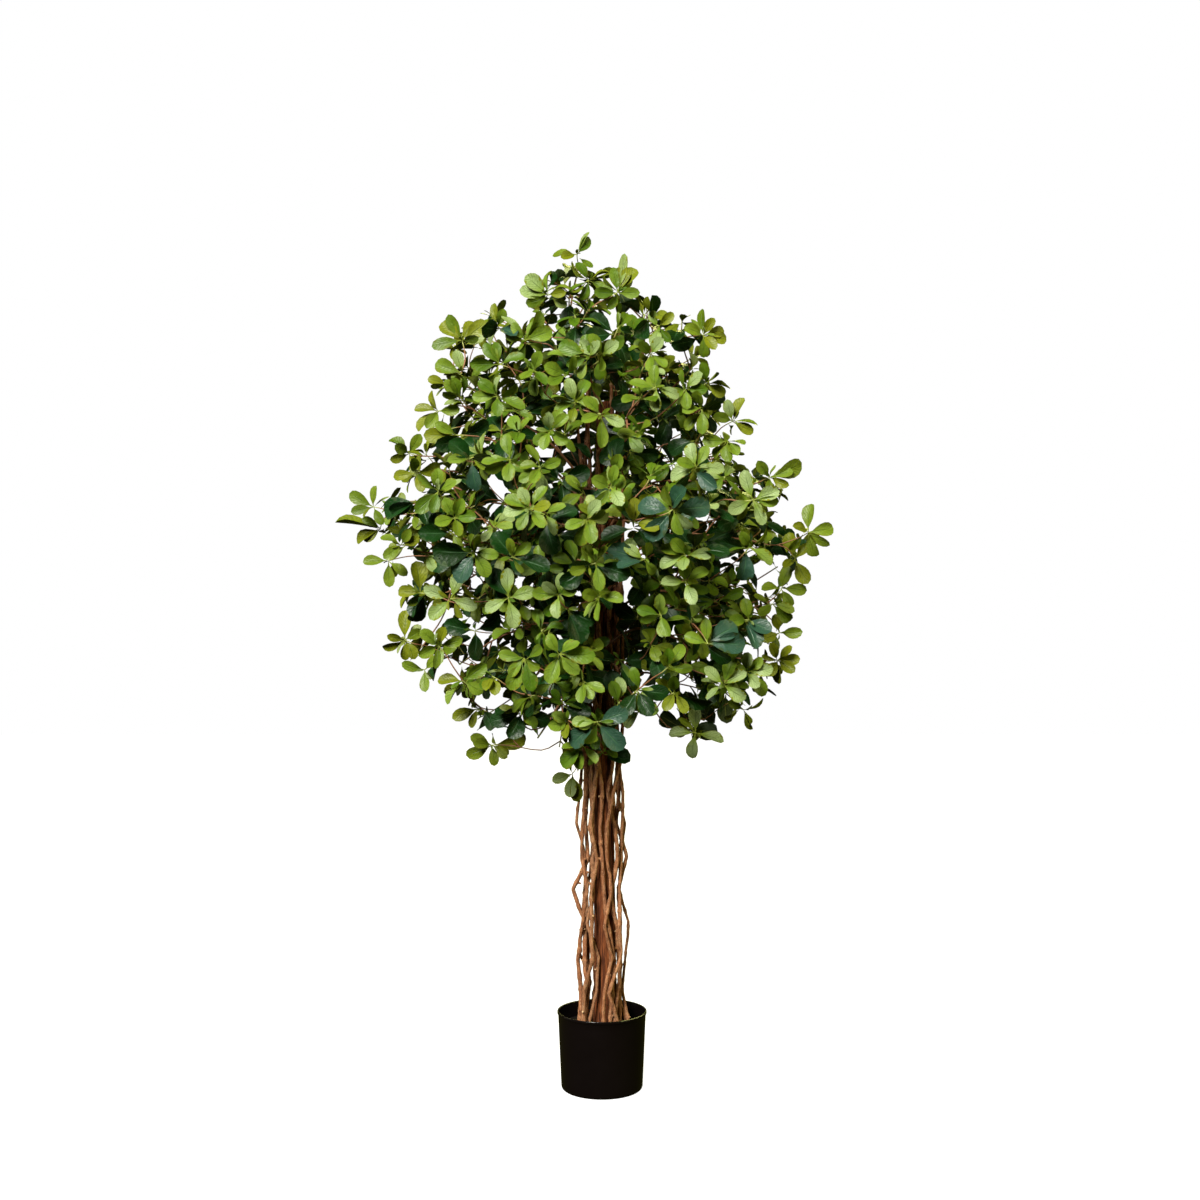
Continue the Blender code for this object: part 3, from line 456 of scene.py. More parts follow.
# The whorls that the front view shows: where in the picture, how far forward, then each leaf
# with its kind, its direction in degrees (0 to the right, 90 up) and its length in the picture
seenWhorls = (
    (577, 254, 0.9, ("n", 167, 25), ("o", 190, 16), ("m", 50, 21), ("y", 70, 25)),
    (589, 280, 0.9, ("n", 152, 26), ("m", 120, 20), ("o", 40, 24), ("m", 205, 24), ("m", 225, 26),
     ("m", 260, 20), ("m", 18, 36), ("l", -30, 28)),
    (548, 295, 0.9, ("p", 139, 29), ("l", 104, 24), ("p", 168, 29), ("n", 42, 23), ("o", 10, 17),
     ("l", 210, 24)),
    (525, 340, 0.9, ("l", 132, 18), ("l", 75, 24), ("l", 50, 33), ("l", 20, 29), ("l", 170, 22),
     ("y", 122, 35)),
    (462, 340, 0.9, ("m", 120, 29), ("o", 138, 29), ("o", 65, 23), ("o", 39, 31), ("m", 188, 31),
     ("o", 220, 22), ("m", 0, 14)),
    (497, 325, 0.9, ("o", 103, 22), ("l", 65, 12), ("d", 180, 16), ("b", 0, 14)),
    (499, 364, 0.9, ("m", 130, 26), ("m", 100, 22), ("m", 22, 27), ("m", 180, 29), ("m", 240, 18)),
    (462, 373, 0.9, ("l", 158, 30), ("p", 105, 24), ("o", 230, 16)),
    (446, 384, 0.9, ("o", 157, 17), ("o", 200, 14)),
    (497, 396, 1.0, ("p", 98, 19), ("l", 15, 24), ("l", -18, 30), ("m", -88, 19), ("l", 180, 25),
     ("m", 135, 22)),
    (460, 397, 0.9, ("l", 142, 20), ("m", 110, 17), ("l", 172, 16), ("m", -5, 24), ("m", 60, 20)),
    (438, 411, 0.9, ("o", 125, 22), ("o", 165, 25), ("o", 206, 29), ("l", 235, 15), ("l", 0, 18)),
    (456, 435, 0.9, ("o", 180, 33), ("l", 150, 22), ("d", 20, 30), ("d", -40, 22), ("d", 215, 20)),
    (408, 453, 0.9, ("m", 128, 24), ("l", 55, 20), ("o", 205, 18), ("l", 150, 14), ("o", 290, 16)),
    (415, 473, 0.9, ("o", 185, 24), ("n", 225, 21), ("o", -70, 17), ("o", 5, 27), ("m", 100, 12)),
    (469, 459, 1.0, ("b", -90, 31), ("d", 135, 24), ("d", 10, 18), ("l", 180, 20)),
    (510, 459, 1.0, ("l", 105, 26), ("l", 180, 29), ("l", 212, 28), ("l", 262, 20)),
    (541, 467, 1.0, ("n", 120, 27), ("l", 20, 17), ("n", 165, 21), ("l", 210, 26), ("l", 236, 18)),
    (550, 431, 1.0, ("p", 100, 15), ("l", 235, 17), ("l", -42, 17), ("l", 45, 24)),
    (575, 402, 1.0, ("p", 108, 20), ("m", 63, 27), ("l", 193, 22), ("l", 163, 24), ("p", 0, 24),
     ("l", -45, 24)),
    (534, 370, 1.0, ("l", 78, 15), ("l", 200, 14), ("m", 320, 16)),
    (566, 375, 1.0, ("l", 155, 22), ("l", 45, 17), ("m", 200, 18)),
    (589, 357, 1.0, ("m", 155, 34), ("m", 105, 22), ("p", 60, 17), ("m", 200, 24)),
    (602, 354, 1.0, ("l", 115, 18), ("p", 40, 16), ("p", 155, 23), ("l", -88, 16), ("m", 35, 28)),
    (618, 292, 0.9, ("o", 58, 30), ("y", 76, 40), ("m", 100, 25), ("n", 135, 22), ("l", 0, 21),
     ("n", 35, 23), ("m", 180, 22), ("m", -110, 17)),
    (652, 314, 0.9, ("e", 68, 17), ("o", 120, 14), ("o", -5, 14), ("d", 230, 24)),
    (659, 326, 1.0, ("p", 255, 22), ("o", 40, 16), ("m", -60, 18)),
    (704, 335, 0.9, ("m", 102, 26), ("o", 60, 18), ("o", 15, 22), ("o", -8, 24), ("o", -40, 15),
     ("l", 148, 18), ("e", 197, 30), ("m", -85, 22)),
    (651, 354, 1.0, ("l", 130, 14), ("p", 60, 16), ("l", -22, 18), ("l", -88, 16)),
    (656, 387, 1.0, ("l", 165, 27), ("l", 97, 22), ("p", -18, 26), ("p", -90, 25)),
    (686, 389, 1.0, ("l", 122, 18), ("p", 52, 20), ("l", -90, 17), ("m", 0, 20), ("l", 200, 16)),
    (706, 383, 0.9, ("o", 3, 26), ("o", -30, 23), ("m", 95, 17), ("m", 40, 14)),
    (733, 421, 0.9, ("o", 65, 26), ("l", 8, 26), ("o", -25, 24), ("p", 105, 21), ("l", 160, 16)),
    (702, 407, 1.0, ("n", 120, 14), ("l", 190, 20), ("d", 5, 16), ("l", -88, 27)),
    (601, 414, 1.0, ("p", -22, 26), ("l", 195, 17), ("l", -85, 34), ("l", 130, 22)),
    (616, 472, 1.0, ("l", 85, 14), ("n", 200, 16), ("l", -70, 14)),
    (697, 467, 1.0, ("p", 110, 26), ("l", 62, 25), ("p", 194, 30), ("p", 3, 29), ("l", 155, 17),
     ("d", 230, 26), ("b", -40, 28)),
    (728, 441, 1.0, ("l", 178, 25), ("l", 5, 16), ("l", -100, 16), ("l", -50, 16)),
    (770, 477, 0.9, ("l", 125, 19), ("y", 75, 14), ("l", 18, 24), ("n", 16, 37), ("l", -90, 16),
     ("o", -25, 20)),
    (640, 432, 0.9, ("m", 0, 16), ("m", 120, 18), ("n", 60, 12)),
    (380, 529, 0.2, ("n", 166, 44), ("o", 197, 28), ("o", 215, 20), ("m", 150, 20)),
    (373, 507, 0.5, ("m", 152, 29), ("l", 95, 20), ("y", 47, 19), ("m", 190, 22), ("m", -75, 16)),
    (415, 500, 0.9, ("e", 190, 38), ("d", 200, 30), ("d", -60, 24)),
    (401, 545, 0.9, ("l", 145, 22), ("l", 215, 16), ("l", 60, 17), ("o", 20, 17)),
    (388, 561, 0.9, ("l", 178, 25), ("l", -88, 26), ("l", -37, 24)),
    (420, 593, 0.9, ("o", 172, 24), ("m", 220, 16), ("o", 93, 32), ("e", 220, 24), ("d", 250, 32),
     ("m", 20, 16)),
    (450, 599, 1.0, ("p", 158, 29), ("p", 222, 29), ("p", -18, 28), ("p", 68, 31)),
    (508, 598, 1.0, ("p", 205, 27), ("p", -76, 31), ("p", 92, 30), ("l", 17, 28), ("d", 125, 36)),
    (473, 552, 1.0, ("l", -5, 25), ("l", -55, 29), ("d", 178, 43), ("b", 232, 34), ("n", 110, 16),
     ("n", 60, 14)),
    (512, 557, 1.0, ("d", -15, 37), ("d", 130, 28), ("l", 35, 21), ("n", 95, 16), ("n", -70, 18)),
    (530, 509, 1.0, ("p", 184, 27), ("p", 115, 22), ("l", 150, 28), ("l", 62, 28), ("l", -50, 22),
     ("l", 238, 24), ("o", 15, 20)),
    (438, 491, 1.0, ("l", 145, 25), ("l", 95, 18), ("m", 222, 31), ("m", -105, 22), ("l", 30, 20)),
    (454, 518, 1.0, ("l", 190, 17), ("l", 120, 19), ("l", 70, 18), ("m", 10, 19), ("n", -60, 14)),
    (449, 532, 0.9, ("d", 180, 32), ("e", 150, 26)),
    (587, 519, 1.0, ("p", 70, 16), ("l", 200, 23), ("l", -105, 29), ("n", 5, 17), ("l", -75, 22)),
    (559, 595, 1.0, ("p", 145, 19), ("p", 88, 20), ("p", 250, 20), ("l", 175, 27), ("l", 20, 18)),
    (589, 566, 1.0, ("d", 218, 34), ("n", 110, 20), ("n", 200, 16)),
    (566, 609, 0.9, ("d", -65, 37), ("d", -30, 30)),
    (404, 640, 0.9, ("o", 210, 23), ("o", 93, 31), ("o", -90, 21), ("l", 30, 20), ("o", 170, 14),
     ("o", -50, 20)),
    (438, 645, 1.0, ("l", 208, 21), ("l", 135, 18), ("l", 10, 24), ("o", 75, 18), ("l", -95, 23)),
    (424, 670, 0.9, ("l", 170, 21), ("l", -93, 20), ("l", 50, 18)),
    (463, 681, 0.9, ("o", 170, 26), ("l", 228, 28), ("l", -30, 23), ("m", 35, 29)),
    (478, 708, 0.9, ("o", 200, 28), ("o", 142, 14), ("o", 245, 21), ("e", -65, 20)),
    (519, 712, 0.9, ("e", 163, 25), ("l", 15, 21), ("d", 197, 33), ("d", -18, 30), ("d", -105, 20),
     ("o", 165, 20), ("l", 60, 16)),
    (524, 658, 1.0, ("l", 172, 26), ("l", 228, 23), ("l", -115, 35), ("m", -75, 34), ("n", -40, 18)),
    (559, 654, 1.0, ("l", 125, 21), ("l", 45, 21), ("l", 250, 31), ("l", -48, 28), ("m", -3, 36)),
    (492, 676, 0.9, ("o", -80, 16), ("o", -120, 14)),
    (583, 682, 1.0, ("l", -60, 16), ("l", -20, 22), ("l", 110, 18), ("l", -95, 20)),
    (611, 487, 1.0, ("l", 80, 20), ("y", 105, 22), ("l", 155, 20), ("l", 233, 24), ("p", -58, 18),
     ("m", -52, 28)),
    (674, 509, 1.0, ("b", 165, 36), ("b", 8, 40), ("b", 88, 20), ("b", 232, 38), ("p", -56, 27),
     ("l", -82, 27), ("n", 118, 22)),
    (686, 555, 1.0, ("p", 195, 29), ("p", -105, 14), ("p", 5, 27), ("l", 160, 26), ("l", 130, 19)),
    (686, 582, 1.0, ("p", 182, 25), ("p", -72, 20), ("l", 35, 26), ("l", 100, 14), ("m", -35, 25)),
    (750, 547, 1.0, ("l", -25, 29), ("b", -90, 33), ("d", 170, 24), ("n", 28, 26), ("d", 180, 38),
     ("l", 120, 14)),
    (753, 500, 1.0, ("p", 108, 31), ("p", 20, 28), ("p", 205, 27), ("p", -63, 27), ("l", -5, 26)),
    (809, 532, 0.9, ("l", 95, 29), ("l", 10, 27), ("l", -32, 25), ("l", -78, 26), ("o", 150, 15)),
    (796, 559, 0.9, ("o", 105, 27), ("o", -62, 28), ("e", 140, 24), ("o", 210, 14), ("o", 50, 18)),
    (782, 588, 0.9, ("l", 75, 21), ("l", -5, 25), ("l", 160, 16), ("l", -60, 19)),
    (773, 604, 0.9, ("l", -10, 22), ("m", -45, 26), ("l", 215, 16)),
    (780, 633, 0.9, ("l", 0, 19), ("o", 105, 16), ("o", 200, 18)),
    (778, 660, 0.9, ("o", 3, 22), ("o", 165, 15), ("o", 100, 15), ("o", -32, 18), ("o", -95, 24),
     ("o", -125, 17), ("o", 50, 18)),
    (724, 685, 1.0, ("p", 135, 26), ("p", 38, 24), ("p", 210, 22), ("p", -38, 24), ("l", 72, 30)),
    (747, 672, 1.0, ("p", 90, 18), ("p", 8, 25), ("l", 40, 20), ("p", -50, 17), ("l", -45, 31)),
    (744, 710, 0.9, ("m", 148, 15), ("n", 12, 23), ("n", -72, 20), ("n", -50, 14)),
    (708, 644, 1.0, ("l", 157, 25), ("l", 95, 25), ("b", 0, 40), ("b", 35, 37), ("d", -55, 29)),
    (749, 620, 1.0, ("b", -18, 27), ("b", -60, 28), ("l", 100, 20), ("m", 180, 18)),
    (668, 667, 1.0, ("m", 85, 17), ("l", -8, 25), ("l", 52, 29), ("n", 120, 12)),
    (661, 615, 1.0, ("l", -78, 19), ("l", 95, 19), ("m", 165, 25), ("m", 200, 20)),
    (596, 563, 1.0, ("l", -80, 28), ("d", -17, 38), ("n", 60, 19), ("d", 195, 22), ("n", 120, 20)),
    (645, 559, 1.0, ("b", 162, 38), ("b", 190, 26), ("n", 60, 14)),
    (600, 597, 1.0, ("l", 5, 20), ("l", -100, 23), ("l", 228, 25), ("n", 170, 16)),
    (639, 689, 0.9, ("m", 108, 20), ("d", -8, 32), ("d", 240, 28), ("d", -60, 27)),
    (675, 692, 0.9, ("e", -20, 41), ("o", -118, 17), ("o", -60, 24), ("m", 95, 14)),
    (696, 733, 0.9, ("p", 92, 28), ("p", 175, 27), ("p", -13, 29), ("p", -105, 26), ("n", 137, 23)),
    (598, 722, 1.3, ("b", 20, 32), ("b", -45, 38), ("p", 178, 27), ("b", 218, 36), ("m", -105, 22)),
    (583, 746, 1.7, ("l", -50, 21), ("l", -105, 24), ("m", 222, 30), ("l", 180, 20)),
    (572, 774, 2.8, ("p", 198, 21), ("p", -100, 21), ("o", -77, 28)),
    (491, 745, 1.1, ("l", 207, 28), ("l", -80, 18), ("o", -28, 18), ("o", 5, 34), ("l", 170, 16),
     ("l", 157, 23)),
    (568, 722, 1.2, ("l", 200, 14), ("o", -100, 15), ("l", 150, 14)),
    (642, 392, 0.5, ("d", 200, 30), ("d", -20, 30), ("m", 40, 24)),
    (556, 345, 0.6, ("d", 150, 28), ("d", -60, 26), ("m", 20, 24)),
    (560, 480, 0.6, ("d", 150, 26), ("d", 20, 30), ("d", -80, 26)),
    (630, 450, 0.6, ("d", 150, 30), ("d", -10, 30), ("m", -80, 26)),
    (640, 620, 0.5, ("d", 150, 30), ("d", 30, 30), ("d", -60, 30)),
    (470, 630, 0.5, ("d", 170, 30), ("d", 20, 30), ("d", -80, 26)),
    (660, 530, 0.6, ("d", 200, 26), ("d", -40, 30), ("m", 80, 24)),
    (530, 620, 0.6, ("d", 10, 30), ("d", 150, 26), ("m", -60, 24)),
    (720, 600, 0.6, ("d", 160, 28), ("m", 20, 26), ("d", -50, 30)),
    (620, 660, 0.6, ("d", 170, 30), ("d", 0, 34), ("d", -60, 28)),
    (500, 500, 0.6, ("d", 160, 30), ("d", 0, 30), ("d", -90, 24)),
    (700, 540, 0.6, ("d", -30, 30), ("d", 150, 26)),
)
# Round places in the picture, with their radius, where nothing of the crown is seen. The first sixteen were
# listed one by one. The centres of the rest come from a scratch script's list of the photo's white gaps
gaps = (
    (650, 731, 17), (648, 752, 17), (633, 737, 11), (541, 750, 20), (556, 736, 10), (790, 512, 12),
    (770, 572, 11), (512, 308, 10), (668, 308, 10), (671, 709, 10), (411, 562, 12), (491, 700, 12),
    (410, 492, 8), (490, 492, 7), (352, 531, 8), (372, 530, 6), (494, 696, 9), (779, 566, 9), (494, 480, 7),
    (621, 585, 11), (428, 624, 7), (750, 651, 6), (539, 452, 7), (764, 569, 7), (450, 666, 6),
    (501, 501, 7), (472, 579, 6), (633, 527, 7), (522, 584, 6), (478, 630, 6), (711, 520, 5), (532, 673, 6),
    (687, 686, 6), (613, 320, 5), (644, 678, 5), (675, 432, 6), (495, 729, 6), (418, 660, 5), (379, 516, 5),
    (733, 556, 5),
)
trunkWindows = (  # and where the trunk is seen through the crown
    (609, 392, 12), (593, 434, 12), (590, 466, 9), (606, 620, 14), (604, 703, 10),
)


def leafReach(height, azimuth):
    left = float(np.interp(height, outline["heights"], outline["left"], left=0, right=0))
    right = float(np.interp(height, outline["heights"], outline["right"], left=0, right=0))
    return (left + right) / 2 + (right - left) / 2 * math.cos(azimuth)


def sideReach(spot):
    return leafReach(spot.z, 0 if spot.x > 0 else math.pi)


def inPicture(spot):
    # Where a place shows in the picture
    depth = spot.y - view["camera"].y
    half = view["frame"] / 2
    x, z = (spot.x - view["camera"].x) / depth, (spot.z - view["camera"].z) / depth
    return half + x * focal, half - z * focal


def fromPicture(x, y, near):
    # The place in front of the trunk, on the crown's surface or a share of the way to it, that shows at x, y
    half = view["frame"] / 2
    spot = Vector((0, 0, 0))
    for _ in range(6):
        depth = spot.y - view["camera"].y
        spot.x = view["camera"].x + (x - half) / focal * depth
        spot.z = view["camera"].z - (y - half) / focal * depth
        reach = leafReach(spot.z, -math.pi / 2) - sprigs["margin"]
        spot.y = -reach * near * math.sqrt(max(1 - (spot.x / max(sideReach(spot), 0.02)) ** 2, 0.0))
    return spot


def inGap(spot, extra):
    x, y = inPicture(spot)
    windows = gaps + trunkWindows if spot.y < 0.02 else gaps
    return any(math.hypot(x - gapX, y - gapY) < radius + extra for gapX, gapY, radius in windows)


class Shown:
    # The whorls of the picture, which what fills the crown neither hides nor shades
    def __init__(self, spots, palest):
        self.places = np.array([inPicture(spot) for spot in spots])
        self.depths = np.array([spot.y for spot in spots])
        self.lit = np.array([spot[:] for spot, pale in zip(spots, palest) if pale])
        toLamp = np.array(keyLamp) - self.lit
        self.toLamp = toLamp / np.linalg.norm(toLamp, axis=1)[:, None]

    def hiddenBy(self, spot):
        depth = spot.y - view["camera"].y
        away = np.linalg.norm(self.places - np.array(inPicture(spot)), axis=1) / focal * depth
        return ((away < sprigs["keepOff"]) & (self.depths > spot.y - sprigs["keepOffDepth"])).any()

    def shadedBy(self, spot):
        offset = np.array(spot) - self.lit
        before = (offset * self.toLamp).sum(axis=1)
        aside = np.linalg.norm(offset - self.toLamp * before[:, None], axis=1)
        return ((before > sprigs["keepLitFrom"]) & (aside < sprigs["keepLit"])).any()


def sprigTargets(taken, seen, palest):
    # Places for whorls, each the furthest of a few tries from those that are there
    rng = random.Random(sprigs["seed"])
    heights = np.linspace(outline["heights"][0], sprigs["highest"], 300)
    reach = np.array([leafReach(height, math.pi / 2) for height in heights])
    area = np.cumsum((reach + 0.02) * np.interp(heights, *sprigs["fullness"]))
    known = np.array([spot[:] for spot in list(taken) + seen])
    shown = Shown(seen, palest)
    trunkRoom, overTrunk = sprigs["trunkRoom"]
    targets = []
    while len(targets) < sprigs["count"]:
        best, bestRoom = None, 0
        for _ in range(sprigs["tries"]):
            height = float(np.interp(rng.random() * area[-1], area, heights))
            azimuth = rng.uniform(0, math.tau)
            inner = rng.random() < sprigs["innerShare"]
            front = math.sin(azimuth) < 0
            share = rng.uniform(*sprigs["inner" if inner else "front" if front else "back"])
            distance = (leafReach(height, azimuth) - sprigs["margin"]) * share
            if distance < trunkRoom and height < trunk["top"] + overTrunk:
                continue
            spot = Vector((distance * math.cos(azimuth), distance * math.sin(azimuth), height))
            if inGap(spot, sprigs["gapRoom"]) or shown.hiddenBy(spot) or shown.shadedBy(spot):
                continue
            room = float(np.linalg.norm(known - np.array(spot), axis=1).min())
            room *= sprigs["innerCost"] if inner else 1
            if room > bestRoom:
                best, bestRoom = spot, room
        targets.append(best)
        known = np.vstack((known, best[:]))
    return targets


def outwardOf(spot):
    # From the trunk outwards, and up with the height in the crown
    flat = Vector((spot.x, spot.y, 0))
    least, more, start, over = crown["rise"]
    rise = least + more * max(spot.z - start, 0) / over
    return (flat.normalized() + up * rise).normalized() if flat.length > 0.02 else up.copy()


def smoothRoute(points, steps):
    # Points on a curve through all the given ones
    rows = []
    padded = [points[0] * 2 - points[1]] + list(points) + [points[-1] * 2 - points[-2]]
    for n in range(1, len(padded) - 2):
        a, b, c, d = padded[n - 1:n + 3]
        for m in range(steps):
            t = m / steps
            rows.append(0.5 * ((2 * b) + (c - a) * t + (2 * a - 5 * b + 4 * c - d) * t ** 2
                               + (3 * b - a - 3 * c + d) * t ** 3))
    return rows + [points[-1]]


def growSprigs(mains, twigs):
    # Joins each target to the wire that it is nearest to, the nearest targets first
    rng = random.Random(sprigs["seed"] + 1)
    rows, owners, leads = [], [], []  # where other wires can fork off
    wires = [[] for _ in mains]
    tips = []  # of each whorl: place, direction of its wire, owner, the leaves that the picture shows

    def enter(route, radii, owner, kind, leavesShown=None):
        for n in range(int(sprigs["forksFrom"][kind] * len(route)), len(route) - 1):
            rows.append(route[n][:])
            owners.append(owner)
            leads.append((route[n + 1] - route[n]).normalized())
        wires[owner].append((route, list(np.linspace(*radii, len(route)))))
        tips.append((route[-1], (route[-1] - route[-3]).normalized(), owner, leavesShown))

    def shortened(route):
        # A twig that comes out in front is cut a little, so that it ends behind what the picture shows
        share = sprigs["cutFront"] if route[-1].y < sprigs["frontOf"] else 1.0
        count = max(int(len(route) * share), 4)
        while count > len(route) * sprigs["shortest"]:
            tip = route[count - 1]
            if math.hypot(tip.x, tip.y) < leafReach(tip.z, math.atan2(tip.y, tip.x)) - sprigs["margin"]:
                break
            count -= 1
        return route[:count]

    for owner, (main, branchTwigs) in enumerate(zip(mains, twigs)):
        enter(shortened(smoothRoute(main[0], sprigs["mainSteps"])), mainTwigs["radii"], owner, "main")
        for points, _ in branchTwigs:
            enter(shortened(smoothRoute(points, sprigs["mainSteps"])), sprigs["sideRadii"], owner, "side")
    shown = [found for _, _, _, *found in seenWhorls]
    targets = [fromPicture(x, y, near) for x, y, near, *_ in seenWhorls]
    pale = [any(kind == "p" for kind, _, _ in leavesShown) for leavesShown in shown]
    targets += sprigTargets([tip[0] for tip in tips], targets, pale)
    spots = np.array([target[:] for target in targets])
    outs = np.array([outwardOf(target)[:] for target in targets])
    done = 9.0  # dearer than any way to a wire
    cost = np.full(len(targets), done)
    nearest = np.zeros(len(targets), dtype=int)

    def weigh(start):
        for n in range(start, len(rows)):
            offset = spots - np.array(rows[n])
            away = np.linalg.norm(offset, axis=1)
            turned = (offset * outs).sum(axis=1) / np.maximum(away, 1e-6)
            price = away * (sprigs["turnCost"] - turned) + np.where(away < sprigs["tooNear"], 1.0, 0.0)
            better = price < cost
            cost[better], nearest[better] = price[better], n

    weigh(0)
    while cost.min() < done:
        index = int(cost.argmin())
        target, owner = targets[index], owners[nearest[index]]
        start, lead = Vector(rows[nearest[index]]), leads[nearest[index]]
        length = (target - start).length
        cost[index], spots[index] = done, 90.0  # joined, so out of every wire's reach
        if length > sprigs["reach"]:
            continue
        straight = (target - start) / length
        points = [start]
        for share, onwards, withWire in sprigs["pulls"]:
            bend = Vector([rng.uniform(-1, 1) * length * sprigs["sway"] for _ in range(3)])
            points.append(start + (straight * onwards + lead * withWire) * length * share + bend)
        begin = len(rows)
        leavesShown = shown[index] if index < len(shown) else None
        enter(smoothRoute(points + [target], sprigs["steps"]), sprigs["radii"], owner, "sprig", leavesShown)
        weigh(begin)
    return wires, tips


class Crowd:
    # Balls along the leaves and the wires, in a grid, so that a new leaf finds how much room it has
    cell = 0.03

    def __init__(self):
        self.balls = {}

    def key(self, spot):
        return tuple(int(math.floor(value / self.cell)) for value in spot)

    def add(self, spot, owner):
        self.balls.setdefault(self.key(spot), []).append((spot, owner))

    def room(self, spot, owner):
        x, y, z = self.key(spot)
        best = self.cell
        for i in (x - 1, x, x + 1):
            for j in (y - 1, y, y + 1):
                for k in (z - 1, z, z + 1):
                    for other, who in self.balls.get((i, j, k), ()):
                        if who != owner:
                            best = min(best, (other - spot).length)
        return best


def leafBalls(leaf):
    return [leaf["spot"] + leaf["along"] * leaf["long"] * share for share in leaves["balls"]]


def clamped(value):
    return min(max(value, 0), 1)


def ramp(value, low, high):
    return clamped((value - low) / (high - low))


def placeLeaf(crowd, whorl, rng, axis, spot, turn, spread, long, deep):
    # The try with the most room of a few, or none if it would close a gap that the picture shows
    square = axis.orthogonal().normalized()
    wideSwing, moreSwing = leaves["swing"]
    wideTilt, moreTilt = leaves["tilt"]
    best, bestRoom = None, -1
    for attempt in range(leaves["tries"]):
        swing = turn + rng.uniform(-wideSwing, wideSwing) * (1 + attempt * moreSwing)
        tilt = spread + math.radians(rng.uniform(-wideTilt, wideTilt)) * (1 + attempt * moreTilt)
        out = Matrix.Rotation(swing, 3, axis) @ square
        along = (axis * math.cos(tilt) + out * math.sin(tilt)).normalized()
        face = (axis - along * axis.dot(along)).normalized()
        face = Matrix.Rotation(rng.gauss(0, leaves["roll"]), 3, along) @ face
        leaf = {"spot": spot, "along": along, "face": face, "long": long, "deep": deep}
        room = min(crowd.room(ball, whorl) - leaves["gapCost"] * inGap(ball, leaves["gapRoom"])
                   for ball in leafBalls(leaf))
        tip = spot + along * long
        past = math.hypot(tip.x, tip.y) - leafReach(tip.z, math.atan2(tip.y, tip.x)) - leaves["pastCrown"]
        inFront = abs(tip.x) * -view["camera"].y / (tip.y - view["camera"].y)  # as far out as it shows
        room -= max(past, inFront - sideReach(tip), 0) * leaves["pastCost"]
        if room > bestRoom:
            best, bestRoom = leaf, room
    if any(inGap(ball, 0) for ball in leafBalls(best)):
        return None
    for ball in leafBalls(best):
        crowd.add(ball, whorl)
    return best


def seenWhorl(crowd, whorl, spot, lead, shown, rng):
    # The leaves that the picture shows, each turned so that it catches the light as it does there
    toCamera = (view["camera"] - spot).normalized()
    toLamp = (keyLamp - spot).normalized()
    shine = (toCamera + toLamp).normalized()
    dull = (toCamera + shownLeaves["dull"]).normalized()
    scale = (spot.y - view["camera"].y) / focal
    forwards, outwards, onwards = shownLeaves["axis"]
    axis = (toCamera * forwards + outwardOf(spot) * outwards + lead * onwards).normalized()
    # More olive towards the crown's left and right: painted light shining through the leaves
    edge = ramp(abs(spot.x) / max(sideReach(spot), 0.05), *leaves["edge"])
    firm, loose = shownLeaves["roll"]
    found = []
    for kind, angle, size in shown:
        tone, olive, deep, shortest, turn = kinds[kind]
        flat = size * scale
        long = max(flat * 1.02, shortest * rng.uniform(*shownLeaves["lengths"]))
        tilt = math.acos(min(flat / long, 1.0))
        angle = math.radians(angle)
        along = Vector((math.cos(angle), 0, math.sin(angle))) * math.cos(tilt) + toCamera * math.sin(tilt)
        along.normalize()
        aim = shine if kind in "pb" else dull if kind in "md" else (toCamera + shine).normalized()
        aim = aim + Vector([rng.gauss(0, shownLeaves["aimSpread"]) for _ in range(3)])
        face = (aim - along * along.dot(aim)).normalized()
        if turn:
            turn *= rng.choice((-1, 1)) * rng.uniform(*shownLeaves["turns"])
            face = Matrix.Rotation(turn, 3, along) @ face
        elif kind in "lmo":
            roll = firm + (loose - firm) * ramp(spot.z, *shownLeaves["rollHeights"])
            face = Matrix.Rotation(rng.gauss(0, roll), 3, along) @ face
        width = leaves["youngWidth" if kind == "y" else "darkWidth" if deep else "width"]
        behind = shownLeaves["darkBehind"] * deep + rng.uniform(0, shownLeaves["stagger"])
        leaf = {"spot": spot - axis * behind, "along": along, "face": face, "long": long, "deep": deep,
                "olive": min(olive + shownLeaves["edgeOlive"] * edge, 1), "wide": rng.uniform(*width),
                "curl": rng.uniform(*shownLeaves["curl"]), "cup": rng.uniform(*shownLeaves["cup"]),
                "wave": rng.uniform(-1, 1), "twist": rng.gauss(0, shownLeaves["twist"]),
                "tone": clamped(tone + rng.gauss(0, shownLeaves["toneSpread"]))}
        found.append(leaf)
        for ball in leafBalls(leaf):
            crowd.add(ball, whorl)
    return found, axis


